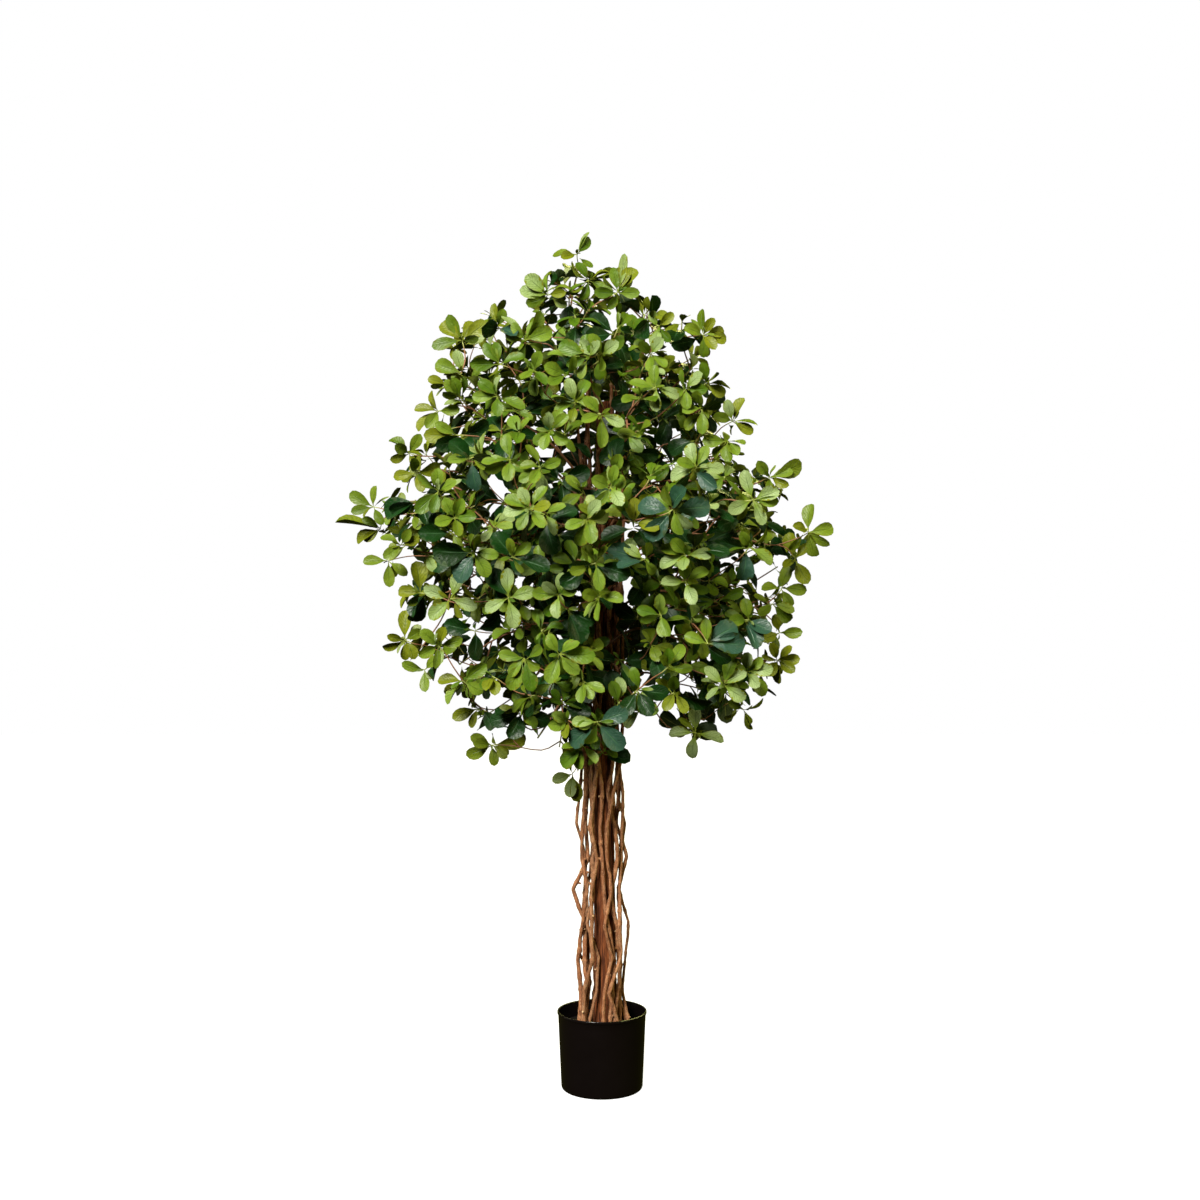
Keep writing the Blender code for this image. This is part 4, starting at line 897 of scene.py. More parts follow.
def growWhorl(crowd, whorl, spot, lead, rng, shown):
    loose = Vector([rng.gauss(0, leaves["axisSpread"]) for _ in range(3)])
    onwards, outwards, upwards = leaves["axis"]
    axis = (lead * onwards + outwardOf(spot) * outwards + up * upwards + loose).normalized()
    depth = math.hypot(spot.x, spot.y) / max(leafReach(spot.z, math.atan2(spot.y, spot.x)), 0.05)
    shell = ramp(depth, *leaves["shell"])  # 1 on the crown's surface, 0 deep inside
    # More olive towards the crown's left and right: painted light shining through the leaves
    edge = ramp(abs(spot.x) / max(leafReach(spot.z, 0), 0.05), *leaves["edge"])
    # Lower tone deeper inside the crown: painted shade
    tone = rng.random() * (leaves["innerTone"] + (1 - leaves["innerTone"]) * shell)
    leastBacklitOlive, moreBacklitOlive = leaves["edgeOlive"]
    olive = clamped(rng.gauss(leastBacklitOlive + moreBacklitOlive * edge, leaves["oliveSpread"]))
    found = []
    if shown:
        found, axis = seenWhorl(crowd, whorl, spot, lead, shown, rng)

    def ring(count, kind, gap, width, deep=0.0):
        start = rng.uniform(0, math.tau)
        for n in range(count):
            base = spot - axis * (gap + rng.uniform(0, leaves["stagger"]))
            spread = math.radians(rng.uniform(*leaves[kind + "Spread"]))
            long = rng.uniform(*leaves[kind + "Lengths"])
            leaf = placeLeaf(crowd, whorl, rng, axis, base, start + math.tau * n / count, spread, long, deep)
            if leaf is None:
                continue
            leaf.update(wide=rng.uniform(*leaves[width]), curl=rng.uniform(*leaves["curl"]),
                        cup=rng.uniform(*leaves["cup"]), wave=rng.uniform(-1, 1),
                        twist=rng.gauss(0, leaves["twist"]), olive=olive)
            leaf["tone"] = clamped(tone + rng.gauss(0, leaves["toneSpread"]))
            # Dark leaves of these whorls keep a low tone: painted shade, and little painted bluish sheen
            leaf["tone"] *= leaves["darkTone"] if deep else 1
            found.append(leaf)

    ring(rng.choice(leaves["young"]), "young", 0.0, "youngWidth")
    if shown:
        ring(rng.choice(leaves["behind"]), "behind", leaves["behindGap"], "width")
        return found
    ring(rng.choice(leaves["light"]), "light", leaves["lightGap"], "width")
    low, high = leaves["darkShare"]
    if rng.random() < high + (low - high) * shell:
        ring(rng.choice(leaves["dark"]), "dark", rng.uniform(*leaves["darkGap"]), "darkWidth", 1.0)
    return found


def meshOf(name, points, edges=(), faces=(), numbers=None, vectors=None):
    mesh = bpy.data.meshes.new(name)
    mesh.from_pydata([point[:] for point in points], edges, faces)
    for key, values in (numbers or {}).items():
        mesh.attributes.new(key, "FLOAT", "POINT").data.foreach_set("value", np.array(values, np.float32))
    for key, values in (vectors or {}).items():
        flat = np.array([value[:] for value in values], np.float32).ravel()
        mesh.attributes.new(key, "FLOAT_VECTOR", "POINT").data.foreach_set("vector", flat)
    return mesh


def newObject(name, mesh):
    item = bpy.data.objects.new(name, mesh)
    bpy.context.scene.collection.objects.link(item)
    return item


def newNodeTree(name, sockets):
    tree = bpy.data.node_groups.new(name, "GeometryNodeTree")
    tree.interface.new_socket("Geometry", in_out="INPUT", socket_type="NodeSocketGeometry")
    for label, kind in sockets:
        tree.interface.new_socket(label, in_out="INPUT", socket_type="NodeSocket" + kind)
    tree.interface.new_socket("Geometry", in_out="OUTPUT", socket_type="NodeSocketGeometry")
    entry = tree.nodes.new("NodeGroupInput")
    return tree, {socket.name: Plug(tree, socket) for socket in entry.outputs if socket.name}


def endTree(tree, geometry, finish):
    last = geometry.make("GeometryNodeSetMaterial", None, {"Geometry": geometry, "Material": finish})
    leave = tree.nodes.new("NodeGroupOutput")
    tree.links.new(last.socket, leave.inputs[0])


def baked(item, tree, values, keep=()):
    # Gives an object the plain mesh that a node tree makes of it, with only the attributes its finish reads
    modifier = item.modifiers.new("shape", "NODES")
    modifier.node_group = tree
    for entry in tree.interface.items_tree:
        if entry.in_out == "INPUT" and entry.name in values:
            modifier[entry.identifier] = values[entry.name]
    item.update_tag()
    bpy.context.view_layer.update()
    mesh = bpy.data.meshes.new_from_object(item.evaluated_get(bpy.context.evaluated_depsgraph_get()))
    item.modifiers.remove(modifier)
    old = item.data
    item.data = mesh
    bpy.data.meshes.remove(old)
    keep = (*keep, "sharp_edge", "sharp_face", "material_index")
    for name in [entry.name for entry in mesh.attributes if entry.name not in keep]:
        found = mesh.attributes.get(name)
        if found and not found.is_required and not found.is_internal:
            mesh.attributes.remove(found)
    mesh.name = item.name
    return item


def named(plug, name, kind="FLOAT"):
    return plug.make("GeometryNodeInputNamedAttribute", {"data_type": kind}, {"Name": name}, "Attribute")


blade = {
    "stations": (  # along the leaf, and how wide there
        (0.0, 0.0), (0.05, 0.06), (0.17, 0.12), (0.31, 0.50), (0.46, 0.84), (0.62, 1.0), (0.78, 0.93),
        (0.92, 0.62), (1.0, 0.0)),
    "columns": (-1.0, -0.5, 0.0, 0.5, 1.0), "crease": (0.27, 0.20), "cup": 2.1, "ripple": (9, 5, 0.035),
}


def bladeTemplate():
    # A flat closed blade: two skins of the same outline that share their rim
    shape = bmesh.new()
    along = shape.verts.layers.float.new("alongBlade")
    across = shape.verts.layers.float.new("acrossBlade")
    wide = shape.verts.layers.float.new("widthOfBlade")
    skin = shape.verts.layers.float.new("skinOfBlade")
    under = shape.faces.layers.float.new("underside")
    rows = {}
    for row, (share, width) in enumerate(blade["stations"]):
        for column, place in enumerate(blade["columns"]):
            rim = width == 0 or abs(place) == 1
            for side in (1, -1):
                if width == 0 and column:
                    rows[row, column, side] = rows[row, 0, side]
                elif rim and side == -1:
                    rows[row, column, side] = rows[row, column, 1]
                else:
                    vertex = shape.verts.new((share, place * width * 0.3, 0))
                    vertex[along], vertex[wide], vertex[skin] = share, width, 0 if rim else side
                    vertex[across] = 0 if width == 0 else place
                    rows[row, column, side] = vertex
    for row in range(len(blade["stations"]) - 1):
        for column in range(len(blade["columns"]) - 1):
            for side in (1, -1):
                ring = [rows[row, column, side], rows[row + 1, column, side], rows[row + 1, column + 1, side],
                        rows[row, column + 1, side]]
                ring = [corner for n, corner in enumerate(ring) if corner is not ring[n - 1]]
                face = shape.faces.new(ring if side == 1 else ring[::-1])
                face.smooth = True
                face[under] = 0 if side == 1 else 1
    for edge in shape.edges:
        skins = {face[under] for face in edge.link_faces}
        edge.smooth = len(skins) == 1
    mesh = bpy.data.meshes.new("bladeTemplate")
    shape.to_mesh(mesh)
    shape.free()
    return newObject("bladeTemplate", mesh)


def leafTree():
    sockets = (("Blade", "Object"), ("Thickness", "Float"), ("Finish", "Material"))
    tree, entry = newNodeTree("leafWhorls", sockets)
    points = entry["Geometry"]
    template = points.make("GeometryNodeObjectInfo", None, {"Object": entry["Blade"]}, "Geometry")
    placed = points.make("GeometryNodeInstanceOnPoints", None, {"Points": points, "Instance": template})
    solid = points.make("GeometryNodeRealizeInstances", None, {"Geometry": placed})
    u, v, wave, long = (named(points, name) for name in ("alongBlade", "acrossBlade", "wave", "long"))
    half = v * named(points, "widthOfBlade") * named(points, "wide") * 0.5
    bend = named(points, "curl")
    turned = bend * u
    sine, cosine = turned.maths("SINE"), turned.maths("COSINE")
    deepest, easing = blade["crease"]
    crease = half.maths("ABSOLUTE") * (deepest - u * easing)
    count, shift, depth = blade["ripple"]
    ripple = (u * count + wave * shift).maths("SINE") * v * v * wave * depth
    cup = half * half * named(points, "cup") * blade["cup"]
    twist = half * (named(points, "twist") * u).maths("SINE")
    skin = named(points, "skinOfBlade") * entry["Thickness"] / long * 0.5
    lift = cup + crease + ripple + twist + skin
    along, face = named(points, "along", "FLOAT_VECTOR"), named(points, "face", "FLOAT_VECTOR")
    across = face.vector("CROSS_PRODUCT", along)
    forward = sine / bend + lift * sine
    upward = lift * cosine - (1 - cosine) / bend
    offset = scaled(along, forward).vector("ADD", scaled(face, upward)).vector("ADD", scaled(across, half))
    place = scaled(offset, long).vector("ADD", named(points, "spot", "FLOAT_VECTOR"))
    shaped = points.make("GeometryNodeSetPosition", None, {"Geometry": solid, "Position": place})
    endTree(tree, shaped, entry["Finish"])
    return tree


def scaled(vector, share):
    return vector.make("ShaderNodeVectorMath", {"operation": "SCALE"}, {0: vector, "Scale": share})


def wireTree(name):
    # Tubes along edges, with a rough skin
    sockets = (("Sides", "Int"), ("Grain", "Float"), ("Depth", "Float"), ("Stretch", "Float"),
               ("Finish", "Material"))
    tree, entry = newNodeTree(name, sockets)
    lines = entry["Geometry"]
    curve = lines.make("GeometryNodeMeshToCurve", None, {"Mesh": lines})
    ring = lines.make("GeometryNodeCurvePrimitiveCircle", None, {"Resolution": entry["Sides"], "Radius": 1.0})
    thick = named(lines, "thick")
    profile = {"Curve": curve, "Profile Curve": ring, "Scale": thick, "Fill Caps": True}
    tube = lines.make("GeometryNodeCurveToMesh", None, profile)
    solid = lines.make("GeometryNodeRealizeInstances", None, {"Geometry": tube})
    stretch = lines.make("ShaderNodeCombineXYZ", None, {0: 1.0, 1: 1.0, 2: entry["Stretch"]})
    spot = lines.make("GeometryNodeInputPosition").vector("MULTIPLY", stretch)
    rough = noise(lines, spot, entry["Grain"], 3.0)
    push = scaled(lines.make("GeometryNodeInputNormal"), (rough - 0.5) * entry["Depth"] * thick)
    shaped = lines.make("GeometryNodeSetPosition", None, {"Geometry": solid, "Offset": push})
    smooth = lines.make("GeometryNodeSetShadeSmooth", None, {"Geometry": shaped})
    endTree(tree, smooth, entry["Finish"])
    return tree


def skinValues(skin, finish):
    values = {key.capitalize(): skin[key] for key in ("sides", "grain", "depth", "stretch")}
    return {**values, "Finish": finish}


leafColours = {
    "light": ((0.038, 0.102, 0.000), (0.168, 0.255, 0.018)), "lightSides": (0.25, 0.34, 0.06),
    "olive": ((0.095, 0.110, 0.000), (0.220, 0.230, 0.005)), "pale": (0.29, 0.365, 0.20),
    "midrib": (0.035, 0.070, 0.004), "ribs": (0.055, 0.105, 0.004), "rim": (0.17, 0.15, 0.012),
    "dark": ((0.001, 0.017, 0.0005), (0.006, 0.060, 0.008)), "bluish": (0.021, 0.060, 0.041),
    "darkMidrib": (0.05, 0.13, 0.05), "back": ((0.070, 0.095, 0.001), (0.17, 0.19, 0.006)),
    "darkBack": (0.022, 0.045, 0.012), "backMidrib": (0.28, 0.32, 0.08), "specks": (0.02, 0.035, 0.003),
    "stem": (0.27, 0.32, 0.04),
}


def leafFinish():
    hue = leafColours
    material, plug, shader = newFinish("satinLeaf")
    u, v = attribute(plug, "alongBlade"), attribute(plug, "acrossBlade")
    deep, tone, under = attribute(plug, "deep"), attribute(plug, "tone"), attribute(plug, "underside")
    olive = attribute(plug, "olive")
    here = plug.make("ShaderNodeTexCoord", out="Object")
    side = v.maths("ABSOLUTE")
    warp = noise(plug, here, 160, 2)
    stripe = ((u * 8.5 - side * 2.6 + warp * 1.4) * math.tau).maths("SINE")
    ribs = stripe.between(0.70, 1.0) * side.between(0.04, 0.2) * (1 - side.between(0.85, 1.0))
    midrib = (1 - side.between(0.02, 0.10)) * (1 - u.between(0.55, 0.95))
    mottle = noise(plug, here, 420, 3, 0.6)
    blush = noise(plug, here, 55, 2)
    # Lighter with tone, which is partly random and partly painted shade and sheen
    light = (tone * 0.8 + blush * 0.5 - 0.15).mixed(*hue["light"])
    # Lighter across the middle of the blade's sides: painted sheen on the cupped lobes
    light = (side.between(0.1, 0.9) * u.between(0.2, 0.75) * tone * 0.25).mixed(light, hue["lightSides"])
    # Olive yellow: painted light shining through the leaf
    backlitYellow = (tone * 0.6 + blush * 0.5 - 0.1).mixed(*hue["olive"])
    light = (olive * 0.85).mixed(light, backlitYellow)
    # Paler over the middle of high-tone leaves: painted sheen
    light = (tone.between(0.60, 1.0) * u.between(0.15, 0.6) * 0.55).mixed(light, hue["pale"])
    # Darker along the midrib from the base: partly its own deeper green, partly painted shade in its groove
    light = (midrib * 0.60).mixed(light, hue["midrib"])
    light = (ribs * 0.50).mixed(light, hue["ribs"])
    light = (side.between(0.86, 1.0) * 0.35).mixed(light, hue["rim"])
    dark = (tone * 0.9 + blush * 0.3 - 0.15).mixed(*hue["dark"])
    # Bluer on dark leaves of high tone: partly their own blue-green, partly painted sheen
    dark = (tone.between(0.45, 0.85) * 0.9).mixed(dark, hue["bluish"])
    dark = (midrib * 0.50).mixed(dark, hue["darkMidrib"])
    top = deep.mixed(light, dark)
    # Yellow-olive undersides: partly their own colour, partly painted light shining through
    back = (tone * 0.7 + blush * 0.3).mixed(*hue["back"])
    back = deep.mixed(back, hue["darkBack"])
    back = (midrib * 0.4).mixed(back, hue["backMidrib"])
    colour = under.mixed(top, back)
    colour = ((mottle - 0.5) * 0.5).maths("ADD", 0.12, clamp=True).mixed(colour, hue["specks"])
    stem = 1 - u.between(0.05, 0.22)
    colour = (stem * 0.8).mixed(colour, hue["stem"])
    swell = noise(plug, here, 95, 1)
    height = mottle * 0.35 - ribs * 0.9 - midrib * 1.2 + swell * 2.6
    rough = 0.46 - deep * 0.05 + under * 0.14 + (mottle - 0.5) * 0.10
    feed(shader, BaseColor=colour, Roughness=rough, SpecularIORLevel=0.26,
         Normal=bump(plug, height, 0.7, 0.0009))
    return material


twigColours = {
    "bark": ((0.10, 0.038, 0.016), (0.34, 0.15, 0.065)), "stem": ((0.22, 0.27, 0.05), (0.40, 0.45, 0.13)),
}


def twigFinish():
    material, plug, shader = newFinish("copperTwig")
    here = plug.make("ShaderNodeTexCoord", out="Object")
    green = attribute(plug, "green")
    grain = noise(plug, here, 380, 3, 0.6)
    bark, stem = grain.mixed(*twigColours["bark"]), grain.mixed(*twigColours["stem"])
    feed(shader, BaseColor=green.mixed(bark, stem), Roughness=0.62 + (grain - 0.5) * 0.2,
         Normal=bump(plug, grain, 0.5, 0.0005))
    return material


stickColours = {
    "bark": ((0.110, 0.036, 0.012), (0.47, 0.200, 0.085)), "patch": (0.170, 0.058, 0.022),
    "old": ((0.13, 0.068, 0.034), (0.35, 0.22, 0.125)), "paleFleck": (0.52, 0.36, 0.22),
    "darkFleck": (0.07, 0.026, 0.011), "crack": (0.035, 0.013, 0.006),
    "cut": ((0.42, 0.26, 0.13), (0.62, 0.42, 0.24)),
}


def stickFinish():
    hue = stickColours
    material, plug, shader = newFinish("vineBark")
    here = plug.make("ShaderNodeTexCoord", out="Object")
    streak = noise(plug, here.vector("MULTIPLY", (1.0, 1.0, 0.10)), 620, 4, 0.65)
    patch = noise(plug, here, 75, 3, 0.65)
    crack = noise(plug, here.vector("MULTIPLY", (1.0, 1.0, 0.22)), 240, 3, 0.7)
    fleck = noise(plug, here, 520, 2)
    grain = streak.between(0.30, 0.70)
    aged = attribute(plug, "age") * 0.35 + (1 - patch.between(0.36, 0.48)) * 0.35
    bark = (patch.between(0.42, 0.60) * 0.60).mixed(grain.mixed(*hue["bark"]), hue["patch"])
    bark = aged.mixed(bark, grain.mixed(*hue["old"]))
    bark = (fleck.between(0.60, 0.72) * 0.5).mixed(bark, hue["paleFleck"])
    bark = ((1 - fleck.between(0.28, 0.40)) * 0.6).mixed(bark, hue["darkFleck"])
    bark = ((1 - crack.between(0.32, 0.46)) * 0.80).mixed(bark, hue["crack"])
    colour = attribute(plug, "cut").mixed(bark, streak.mixed(*hue["cut"]))
    feed(shader, BaseColor=colour, Roughness=0.72 + (streak - 0.5) * 0.2, SpecularIORLevel=0.25,
         Normal=bump(plug, streak * 0.6 + crack + fleck * 0.5, 1.0, 0.0016))
    return material


trunkColours = {"grain": ((0.022, 0.006, 0.002), (0.23, 0.066, 0.018)), "broad": (0.13, 0.032, 0.010)}


def trunkFinish():
    material, plug, shader = newFinish("trunkGrain")
    here = plug.make("ShaderNodeTexCoord", out="Object")
    grain = noise(plug, here.vector("MULTIPLY", (1.0, 1.0, 0.045)), 420, 5, 0.7)
    broad = noise(plug, here.vector("MULTIPLY", (1.0, 1.0, 0.12)), 60, 3, 0.6)
    colour = grain.between(0.40, 0.60).mixed(*trunkColours["grain"])
    colour = (broad.between(0.35, 0.75) * 0.5).mixed(colour, trunkColours["broad"])
    feed(shader, BaseColor=colour, Roughness=0.74 + (grain - 0.5) * 0.2, SpecularIORLevel=0.2,
         Normal=bump(plug, grain + broad * 0.6, 1.0, 0.003))
    return material


potColours = ((0.0020, 0.0011, 0.0013), (0.0034, 0.0020, 0.0023))
fillColours = ((0.0010, 0.0007, 0.0006), (0.012, 0.008, 0.005))


def potFinish():
    material, plug, shader = newFinish("blackPlastic")
    here = plug.make("ShaderNodeTexCoord", out="Object")
    grain = noise(plug, here, 900, 2)
    cloud = noise(plug, here, 14, 3, 0.6)
    feed(shader, BaseColor=cloud.mixed(*potColours), SpecularIORLevel=0.40,
         Roughness=0.24 + (cloud - 0.5) * 0.12 + (grain - 0.5) * 0.05, Normal=bump(plug, grain, 0.15, 0.0002))
    return material


def fillFinish():
    material, plug, shader = newFinish("darkGround")
    here = plug.make("ShaderNodeTexCoord", out="Object")
    grain = noise(plug, here, 260, 4, 0.7)
    crumb = noise(plug, here, 90, 2)
    feed(shader, BaseColor=(grain * crumb * 1.6).mixed(*fillColours), Roughness=0.9 - (grain - 0.5) * 0.1,
         SpecularIORLevel=0.1, Normal=bump(plug, grain, 0.8, 0.002))
    return material


pot = {
    "height": 0.136, "rim": 0.0785, "foot": 0.0725, "wall": 0.0028, "floor": 0.0030, "lip": 0.0045,
    "overhang": 0.0012, "footRound": 0.0060, "insideRound": 0.004, "edge": 0.0008, "steps": 144,
}
ground = {
    "top": 0.111, "wall": 0.0708, "rise": 0.0035, "rings": 26, "steps": 120,
    "lumps": ((95.0, 3.0), (260.0, 2.0)),  # coarse and fine, each with its scale and detail
    "under": ((0.0700, 0.06), (0.0660, 0.0105), (0.0610, 0.0036), (0.03, 0.0034), (0, 0.0034)),
}


def taper(height):
    return pot["foot"] + (pot["rim"] - pot["foot"]) * height / pot["height"]


def arc(middle, radius, start, end, steps=4):
    turns = [start + (end - start) * n / steps for n in range(steps + 1)]
    return [(middle[0] + radius * math.cos(math.radians(t)), middle[1] + radius * math.sin(math.radians(t)))
            for t in turns]


def turned(name, profile, steps):
    # A closed profile that starts and ends on the axis, turned round it
    points, faces = [], []
    for radius, height in profile[1:-1]:
        for n in range(steps):
            angle = math.tau * n / steps
            points.append((radius * math.cos(angle), radius * math.sin(angle), height))
    rows = len(profile) - 2
    for row in range(rows - 1):
        for n in range(steps):
            m = (n + 1) % steps
            faces.append((row * steps + n, (row + 1) * steps + n, (row + 1) * steps + m, row * steps + m))
    points += [(0, 0, profile[0][1]), (0, 0, profile[-1][1])]
    first, last = len(points) - 2, len(points) - 1
    for n in range(steps):
        m = (n + 1) % steps
        faces.append((first, n, m))
        faces.append((last, (rows - 1) * steps + m, (rows - 1) * steps + n))
    mesh = meshOf(name, [Vector(point) for point in points], faces=faces)
    shape = bmesh.new()
    shape.from_mesh(mesh)
    bmesh.ops.recalc_face_normals(shape, faces=shape.faces)
    if shape.calc_volume(signed=True) < 0:
        bmesh.ops.reverse_faces(shape, faces=shape.faces)
    shape.to_mesh(mesh)
    shape.free()
    mesh.shade_smooth()
    mesh.set_sharp_from_angle(angle=math.radians(38))
    return newObject(name, mesh)


def makePot():
    lipFoot = pot["height"] - pot["lip"]
    inner, edge, foot = pot["rim"] - pot["wall"], pot["edge"], pot["footRound"]
    wall = taper(lipFoot) - pot["overhang"]
    floor, bend = pot["floor"], pot["insideRound"]
    corner = floor + bend
    profile = [(0, floor), (0.03, floor), (taper(floor) - pot["wall"] - bend, floor)]
    profile += arc((taper(corner) - pot["wall"] - bend, corner), bend, -90, 0)
    profile += [(np.interp(h, [corner, 0.135], [taper(corner) - pot["wall"], inner]), h)
                for h in (0.04, 0.08, 0.11, 0.125)]
    profile += arc((inner + edge, pot["height"] - edge), edge, 180, 90)
    profile += arc((pot["rim"] - edge, pot["height"] - edge), edge, 90, 0)
    profile += arc((pot["rim"] - 0.0005, lipFoot + 0.0005), 0.0005, 0, -90, 2)
    profile += [(wall + 0.0004, lipFoot - 0.0002), (wall, lipFoot - 0.0010)]
    profile += [(taper(h) - pot["overhang"], h) for h in (0.118, 0.10, 0.08, 0.06, 0.04, 0.02)]
    base = taper(foot) - pot["overhang"]
    profile += arc((base - foot, foot), foot, 0, -90, 6) + [(0.035, 0.0), (0, 0.0)]
    item = turned("nurseryPot", profile, pot["steps"])
    item.data.materials.append(potFinish())
    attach(item, "root")
    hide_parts("pot")


def makeGround():
    # The dark fill, lumpy on top
    profile = [(ground["wall"] * n / ground["rings"], ground["top"]) for n in range(ground["rings"] + 1)]
    profile += ground["under"]
    item = turned("potFill", profile, ground["steps"])
    tree, entry = newNodeTree("lumpyGround", (("Rise", "Float"), ("Finish", "Material")))
    base = entry["Geometry"]
    here = base.make("GeometryNodeInputPosition")
    height = base.make("ShaderNodeSeparateXYZ", None, {0: here}, "Z")
    coarse, fine = (noise(base, here, *lump) for lump in ground["lumps"])
    lumps = coarse * 0.6 + fine * 0.4
    distance = here.vector("MULTIPLY", (1.0, 1.0, 0.0)).vector("LENGTH", out="Value")
    edge = 1 - distance.between(0.064, ground["wall"])
    lift = (lumps - 0.62) * entry["Rise"] * edge * height.between(0.108, 0.1105) * 2
    offset = base.make("ShaderNodeCombineXYZ", None, {2: lift})
    shaped = base.make("GeometryNodeSetPosition", None, {"Geometry": base, "Offset": offset})
    endTree(tree, shaped, entry["Finish"])
    baked(item, tree, {"Rise": ground["rise"], "Finish": fillFinish()})
    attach(item, "root")
    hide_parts("pot_fill")


trunkSkin = {"sides": 56, "rings": 200, "grain": 95.0, "depth": 0.22, "stretch": 0.10}
stickSkin = {
    "sides": 12, "step": 0.004, "grain": 230.0, "depth": 0.46, "stretch": 0.45, "seed": 5,
    "knotGap": (0.020, 0.060), "knotSwell": (0.12, 0.42), "knotWidth": (0.0022, 0.0045), "angular": 0.9,
    "bendGap": (0.014, 0.040), "bend": 0.0011, "nubShare": 0.28, "nubLength": (0.0015, 0.0045),
    "footShare": 0.6, "footSwell": (0.15, 0.45), "footLump": (0.121, 0.010), "straightFoot": (0.112, 25),
    "firstKnot": (0.05, 0.09), "waves": ((0.06, 90), (0.05, 41)), "nubLean": (0.1, 0.9),
    "nubWidth": (0.4, 0.62),
    "nubShape": ((0.2, 1.25), (0.6, 1.0), (0.95, 0.85), (1.0, 0.7)),  # along the stub, and how thick there
}


def lineObject(name, wires, extra):
    # One object that holds many wires as edges, with their thickness and more on their points
    points, edges, thick = [], [], []
    for route, radii in wires:
        first = len(points)
        points += route
        thick += radii
        edges += [(first + n, first + n + 1) for n in range(len(route) - 1)]
    return newObject(name, meshOf(name, points, edges, numbers={"thick": thick, **extra}))


def makeTrunk():
    heights = np.linspace(trunk["foot"], trunk["top"], trunkSkin["rings"])
    foot = trunkMiddle(sticks["firstLevel"])
    route = [Vector((foot.x, foot.y, h)) if h < sticks["firstLevel"] else trunkMiddle(h) for h in heights]
    radii = [trunkRadius(h) * 0.99 for h in heights]
    item = lineObject("trunkWood", [(route, radii)], {})
    baked(item, wireTree("trunkBark"), skinValues(trunkSkin, trunkFinish()))
    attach(item, "root")
    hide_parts("trunk_core")


def knottyStick(points, radii, rng):
    # A stick's fine route and thickness, with knots and here and there the stub of a side shoot
    smooth = smoothRoute(points[1:], 5)
    straight = [a.lerp(b, n / 5) for a, b in zip(points[1:], points[2:]) for n in range(5)] + [points[-1]]
    coarse = [points[0]] + [a.lerp(b, stickSkin["angular"]) for a, b in zip(smooth, straight)]
    lengths = np.cumsum([0] + [(b - a).length for a, b in zip(coarse, coarse[1:])])
    marks = np.cumsum([0] + [(b - a).length for a, b in zip(points, points[1:])])
    count = int(lengths[-1] / stickSkin["step"])
    travel = np.linspace(0, lengths[-1], count)
    place = np.array([point[:] for point in coarse])
    line = np.stack([np.interp(travel, lengths, place[:, axis]) for axis in range(3)], axis=1)
    thick = np.interp(travel * marks[-1] / lengths[-1], marks, radii)
    phases = [rng.uniform(0, math.tau) for _ in range(6)]  # the last two are used
    waves = 1
    bendCount = int(lengths[-1] / stickSkin["bendGap"][0])
    bends = np.cumsum([rng.uniform(*stickSkin["bendGap"]) for _ in range(bendCount)])
    straightTo, easing = stickSkin["straightFoot"]
    for axis in range(2):
        sway = np.interp(travel, bends, [rng.gauss(0, stickSkin["bend"]) for _ in bends])
        line[:, axis] += sway * np.clip((line[:, 2] - straightTo) * easing, 0, 1)
    for (swell, pace), phase in zip(stickSkin["waves"], phases[4:]):
        waves = waves + swell * np.sin(travel * pace + phase)
    thick = thick * waves
    nubs = []
    spot = rng.uniform(*stickSkin["firstKnot"])
    while spot < lengths[-1] - 0.01:
        swell, width = rng.uniform(*stickSkin["knotSwell"]), rng.uniform(*stickSkin["knotWidth"])
        thick *= 1 + swell * np.exp(-((travel - spot) / width) ** 2)
        if rng.random() < stickSkin["nubShare"]:
            n = int(spot / lengths[-1] * (count - 1))
            lead = Vector(line[min(n + 1, count - 1)] - line[n - 1]).normalized()
            side = Matrix.Rotation(rng.uniform(0, math.tau), 3, lead) @ lead.orthogonal().normalized()
            out = (side + lead * rng.uniform(*stickSkin["nubLean"])).normalized()
            base, size = Vector(line[n]), thick[n]
            long = size + rng.uniform(*stickSkin["nubLength"])
            wide = size * rng.uniform(*stickSkin["nubWidth"])
            nubs.append(([base + out * long * share for share, _ in stickSkin["nubShape"]],
                         [wide * share for _, share in stickSkin["nubShape"]]))
        spot += rng.uniform(*stickSkin["knotGap"])
    if rng.random() < stickSkin["footShare"]:  # lumpy where the stick comes out of the fill
        height, width = stickSkin["footLump"]
        thick *= 1 + rng.uniform(*stickSkin["footSwell"]) * np.exp(-((line[:, 2] - height) / width) ** 2)
    route = [Vector(row) for row in line]
    return route, list(thick), nubs


def makeSticks(routes):
    finish = stickFinish()
    tree = wireTree("stickBark")
    for index, (points, radii) in enumerate(routes):
        rng = random.Random(stickSkin["seed"] + index)
        route, thick, nubs = knottyStick(points, radii, rng)
        cut = [0.0] * (len(route) - 1) + [1.0]
        for line, _ in nubs:
            cut += [0.0] * (len(line) - 1) + [1.0]
        item = lineObject(f"vineStick{index + 1:02d}", [(route, thick)] + nubs,
                          {"cut": cut, "age": [rng.random() ** 1.5] * len(cut)})
        baked(item, tree, skinValues(stickSkin, finish), ("cut", "age"))
        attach(item, "root")
        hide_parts(f"vine_{index + 1:02d}")


twigSkin = {"sides": 6, "grain": 300.0, "depth": 0.35, "stretch": 1.0}


